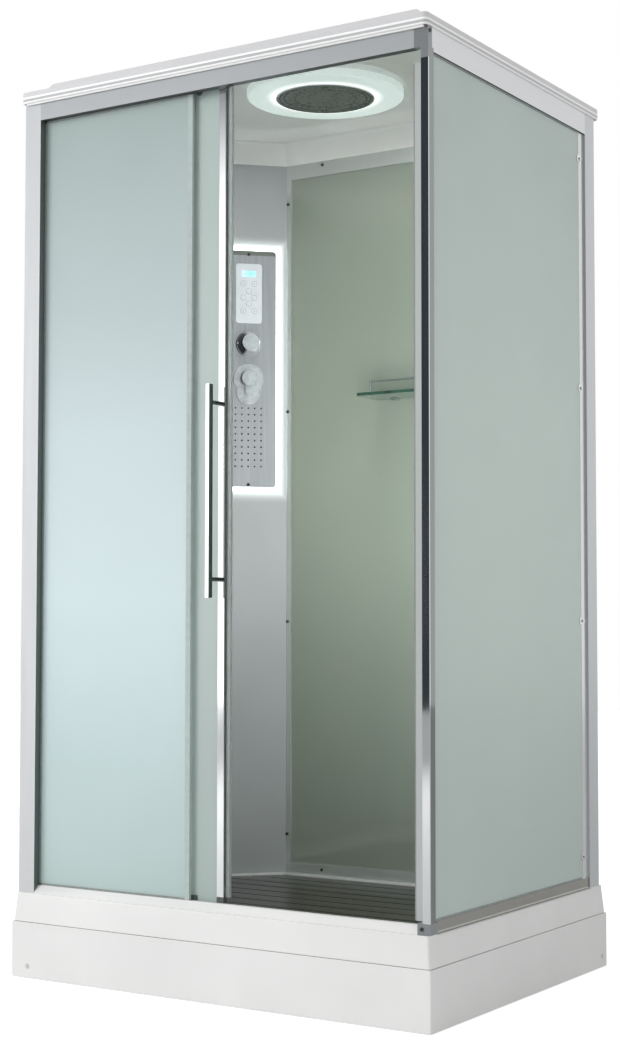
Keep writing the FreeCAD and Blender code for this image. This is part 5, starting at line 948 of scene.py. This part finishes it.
class OBJECT_OT_grilles(bpy.types.Operator):
    """Round grilles in the steam outlet and the waste"""
    bl_idname = "cabin.grilles"
    bl_label = "Grilles"

    def execute(self, context):
        wall = node_box("left_wall_glass")[1][0]
        reach, behind, height = 11 * MM, 60 * MM, 330 * MM
        mouth = np.array([wall + reach, behind, height])
        chrome = polished_chrome()
        hoops = ring_grille(mouth, RIGHT, BACK, 14.4 * MM, 3, 4)
        make_piece("steam_grille", hoops, chrome, "cabin")
        low, high = node_box("drain_waste")
        behind, below_rim = 150 * MM, 2 * MM
        cup = np.array([(low + high)[0] / 2, behind, high[2] - below_rim])
        hoops = ring_grille(cup, UP, RIGHT, 39.4 * MM, 6, 8)
        make_piece("waste_grille", hoops, chrome, "cabin")
        return {"FINISHED"}


class OBJECT_OT_stage(bpy.types.Operator):
    """Pale floor, even light and the camera at the photographed angle"""
    bl_idname = "cabin.stage"
    bl_label = "Stage"

    def execute(self, context):
        studio_air(looks().sky_light)
        studio_floor()
        outside = looks().key_light
        inside = looks().inner_light
        key = lamp("key_lamp", (-3.2, -5.0, 3.4), (0, 0, 1.1), 3.0, outside)
        fill = lamp("fill_lamp", (4.6, -2.0, 3.0), (0, 0, 1.0), 3.0, outside * 0.12)
        ring = lamp("ring_lamp", (0.038, -0.01, 2.14), (0.038, -0.01, 0), 0.36, inside * 0.5, "DISK")
        door = lamp("doorway_lamp", (0.24, -0.25, 1.2), (-0.1, 0.4, 1.1), 0.5, inside)
        for item in (key, fill, ring, door):
            item.visible_camera = False
            item.visible_transmission = False
        for item in (key, ring, door):
            item.visible_glossy = False
        studio_camera()
        context.scene.view_settings.view_transform = "Standard"
        return {"FINISHED"}


# ------------------------------------------------------------------ stage
def studio_air(strength):
    """Even light; the camera and clear glass see white.

    Shiny things see a dark room in front of the cabin, with a lit wall at its left.
    """
    world = bpy.data.worlds.new("studio_air")
    bpy.context.scene.world = world
    world.use_nodes = True
    tree = world.node_tree
    plain = tree.nodes["Background"]
    plain.inputs["Color"].default_value = WHITE
    plain.inputs["Strength"].default_value = strength
    white = add(tree, "ShaderNodeBackground", inputs={"Color": WHITE})
    heading = add(tree, "ShaderNodeTexCoord").outputs["Generated"]
    split = add(tree, "ShaderNodeSeparateXYZ", links={"Vector": heading}).outputs
    ratio = {0: split["X"], 1: split["Y"]}
    left = add(tree, "ShaderNodeMath", {"operation": "DIVIDE"}, links=ratio).outputs[0]
    edges = [
        (split["Y"], -0.1, -0.5),  # the room's front
        (split["Z"], 0.75, 0.4),  # its ceiling
        (left, 0.6, 0.66),  # the lit wall's near and far end
        (left, 1.9, 1.6),
        (split["Z"], 0.3, 0.21),  # and its top
    ]
    shares = []
    for value, outside, inside in edges:
        share = add(tree, "ShaderNodeMapRange", inputs={1: outside, 2: inside}, links={0: value})
        shares.append(share.outputs[0])
    for first, second in ((0, 1), (2, 3), (4, 6)):
        both = {0: shares[first], 1: shares[second]}
        shares.append(add(tree, "ShaderNodeMath", {"operation": "MULTIPLY"}, links=both).outputs[0])
    room, _, wall = shares[5:]
    unlit = add(tree, "ShaderNodeMath", {"operation": "SUBTRACT"}, {0: 1.0}, {1: wall})
    dark = add(tree, "ShaderNodeMath", {"operation": "MULTIPLY"}, links={0: room, 1: unlit.outputs[0]})
    tones = {6: WHITE, 7: linear("#383D42")}
    tone = add(tree, "ShaderNodeMix", {"data_type": "RGBA"}, tones, {"Factor": dark.outputs[0]})
    level = add(tree, "ShaderNodeMapRange", inputs={"To Min": 1.0, "To Max": 1.9}, links={"Value": wall})
    links = {"Color": tone.outputs[2], "Strength": level.outputs["Result"]}
    mirrored = add(tree, "ShaderNodeBackground", links=links)
    ray = add(tree, "ShaderNodeLightPath").outputs
    links = {0: ray["Is Camera Ray"], 1: ray["Is Transmission Ray"]}
    seen = add(tree, "ShaderNodeMath", {"operation": "MAXIMUM"}, links=links)
    links = {0: ray["Is Glossy Ray"], 1: plain.outputs[0], 2: mirrored.outputs[0]}
    shine = add(tree, "ShaderNodeMixShader", links=links)
    links = {0: seen.outputs[0], 1: shine.outputs[0], 2: white.outputs[0]}
    sight = add(tree, "ShaderNodeMixShader", links=links)
    tree.links.new(sight.outputs[0], tree.nodes["World Output"].inputs["Surface"])


def studio_floor():
    """Pale floor that looks white to the camera but still takes the cabin's shadow."""
    material, tree, shader = shader_of("studio_floor", "#F0F0F0", 0.6)
    shader.inputs["Emission Color"].default_value = WHITE
    ray = add(tree, "ShaderNodeLightPath").outputs["Is Camera Ray"]
    lift = add(tree, "ShaderNodeMapRange", inputs={"To Max": 0.65}, links={"Value": ray})
    tree.links.new(lift.outputs["Result"], shader.inputs["Emission Strength"])
    half = 12.0
    mesh = bpy.data.meshes.new("studio_floor")
    corners = [(-half, -half, 0), (half, -half, 0), (half, half, 0), (-half, half, 0)]
    mesh.from_pydata(corners, [], [(0, 1, 2, 3)])
    mesh.materials.append(material)
    floor = bpy.data.objects.new("studio_floor", mesh)
    bpy.context.scene.collection.objects.link(floor)


def lamp(name, place, target, size, watts, shape="SQUARE"):
    """Area lamp at a place, turned towards its target."""
    light = bpy.data.lights.new(name, "AREA")
    light.shape = shape
    light.size = size
    light.energy = watts
    item = bpy.data.objects.new(name, light)
    item.location = place
    item.rotation_euler = (Vector(target) - Vector(place)).to_track_quat("-Z", "Y").to_euler()
    bpy.context.scene.collection.objects.link(item)
    return item


def studio_camera():
    """Looks along yaw from +Y towards -X and pitch upwards, with its small roll."""
    place = (2.4114, -3.77, 0.8572)
    yaw = 0.57131
    pitch = 0.052663
    roll = 0.0011634
    ahead = Vector((-math.sin(yaw) * math.cos(pitch), math.cos(yaw) * math.cos(pitch), math.sin(pitch)))
    level = Vector((math.cos(yaw), math.sin(yaw), 0))
    upright = level.cross(ahead)
    right = level * math.cos(roll) + upright * math.sin(roll)
    up = upright * math.cos(roll) - level * math.sin(roll)
    data = bpy.data.cameras.new("camera")
    data.sensor_width = 36.0
    data.lens = 62.34
    data.clip_end = 100
    camera = bpy.data.objects.new("camera", data)
    camera.matrix_world = Matrix.Translation(place) @ Matrix((right, up, -ahead)).transposed().to_4x4()
    bpy.context.scene.collection.objects.link(camera)
    bpy.context.scene.camera = camera


# ------------------------------------------------------------------ add-on
class VIEW3D_PT_cabin(bpy.types.Panel):
    """One button for each group of pieces and one for the stage"""
    bl_idname = "VIEW3D_PT_cabin"
    bl_label = "Steam shower cabin"
    bl_space_type = "VIEW_3D"
    bl_region_type = "UI"
    bl_category = "Cabin"

    def draw(self, context):
        for operator in OPERATORS:
            self.layout.operator(operator.bl_idname)


OPERATORS = [
    OBJECT_OT_cabin_shell,
    OBJECT_OT_cabin_frame,
    OBJECT_OT_cabin_glass,
    OBJECT_OT_cabin_column,
    OBJECT_OT_head_nozzles,
    OBJECT_OT_screw_crosses,
    OBJECT_OT_key_marks,
    OBJECT_OT_display_marks,
    OBJECT_OT_glazing_seals,
    OBJECT_OT_silicone,
    OBJECT_OT_grilles,
    OBJECT_OT_stage,
]
CLASSES = [CabinLooks, *OPERATORS, VIEW3D_PT_cabin]


def register():
    for item in CLASSES:
        bpy.utils.register_class(item)
    bpy.types.Scene.cabin_looks = bpy.props.PointerProperty(type=CabinLooks)


def unregister():
    del bpy.types.Scene.cabin_looks
    for item in reversed(CLASSES):
        bpy.utils.unregister_class(item)


def main():
    register()
    for operator in OPERATORS:
        section, name = operator.bl_idname.split(".")
        getattr(getattr(bpy.ops, section), name)()


if __name__ == "__main__":
    main()
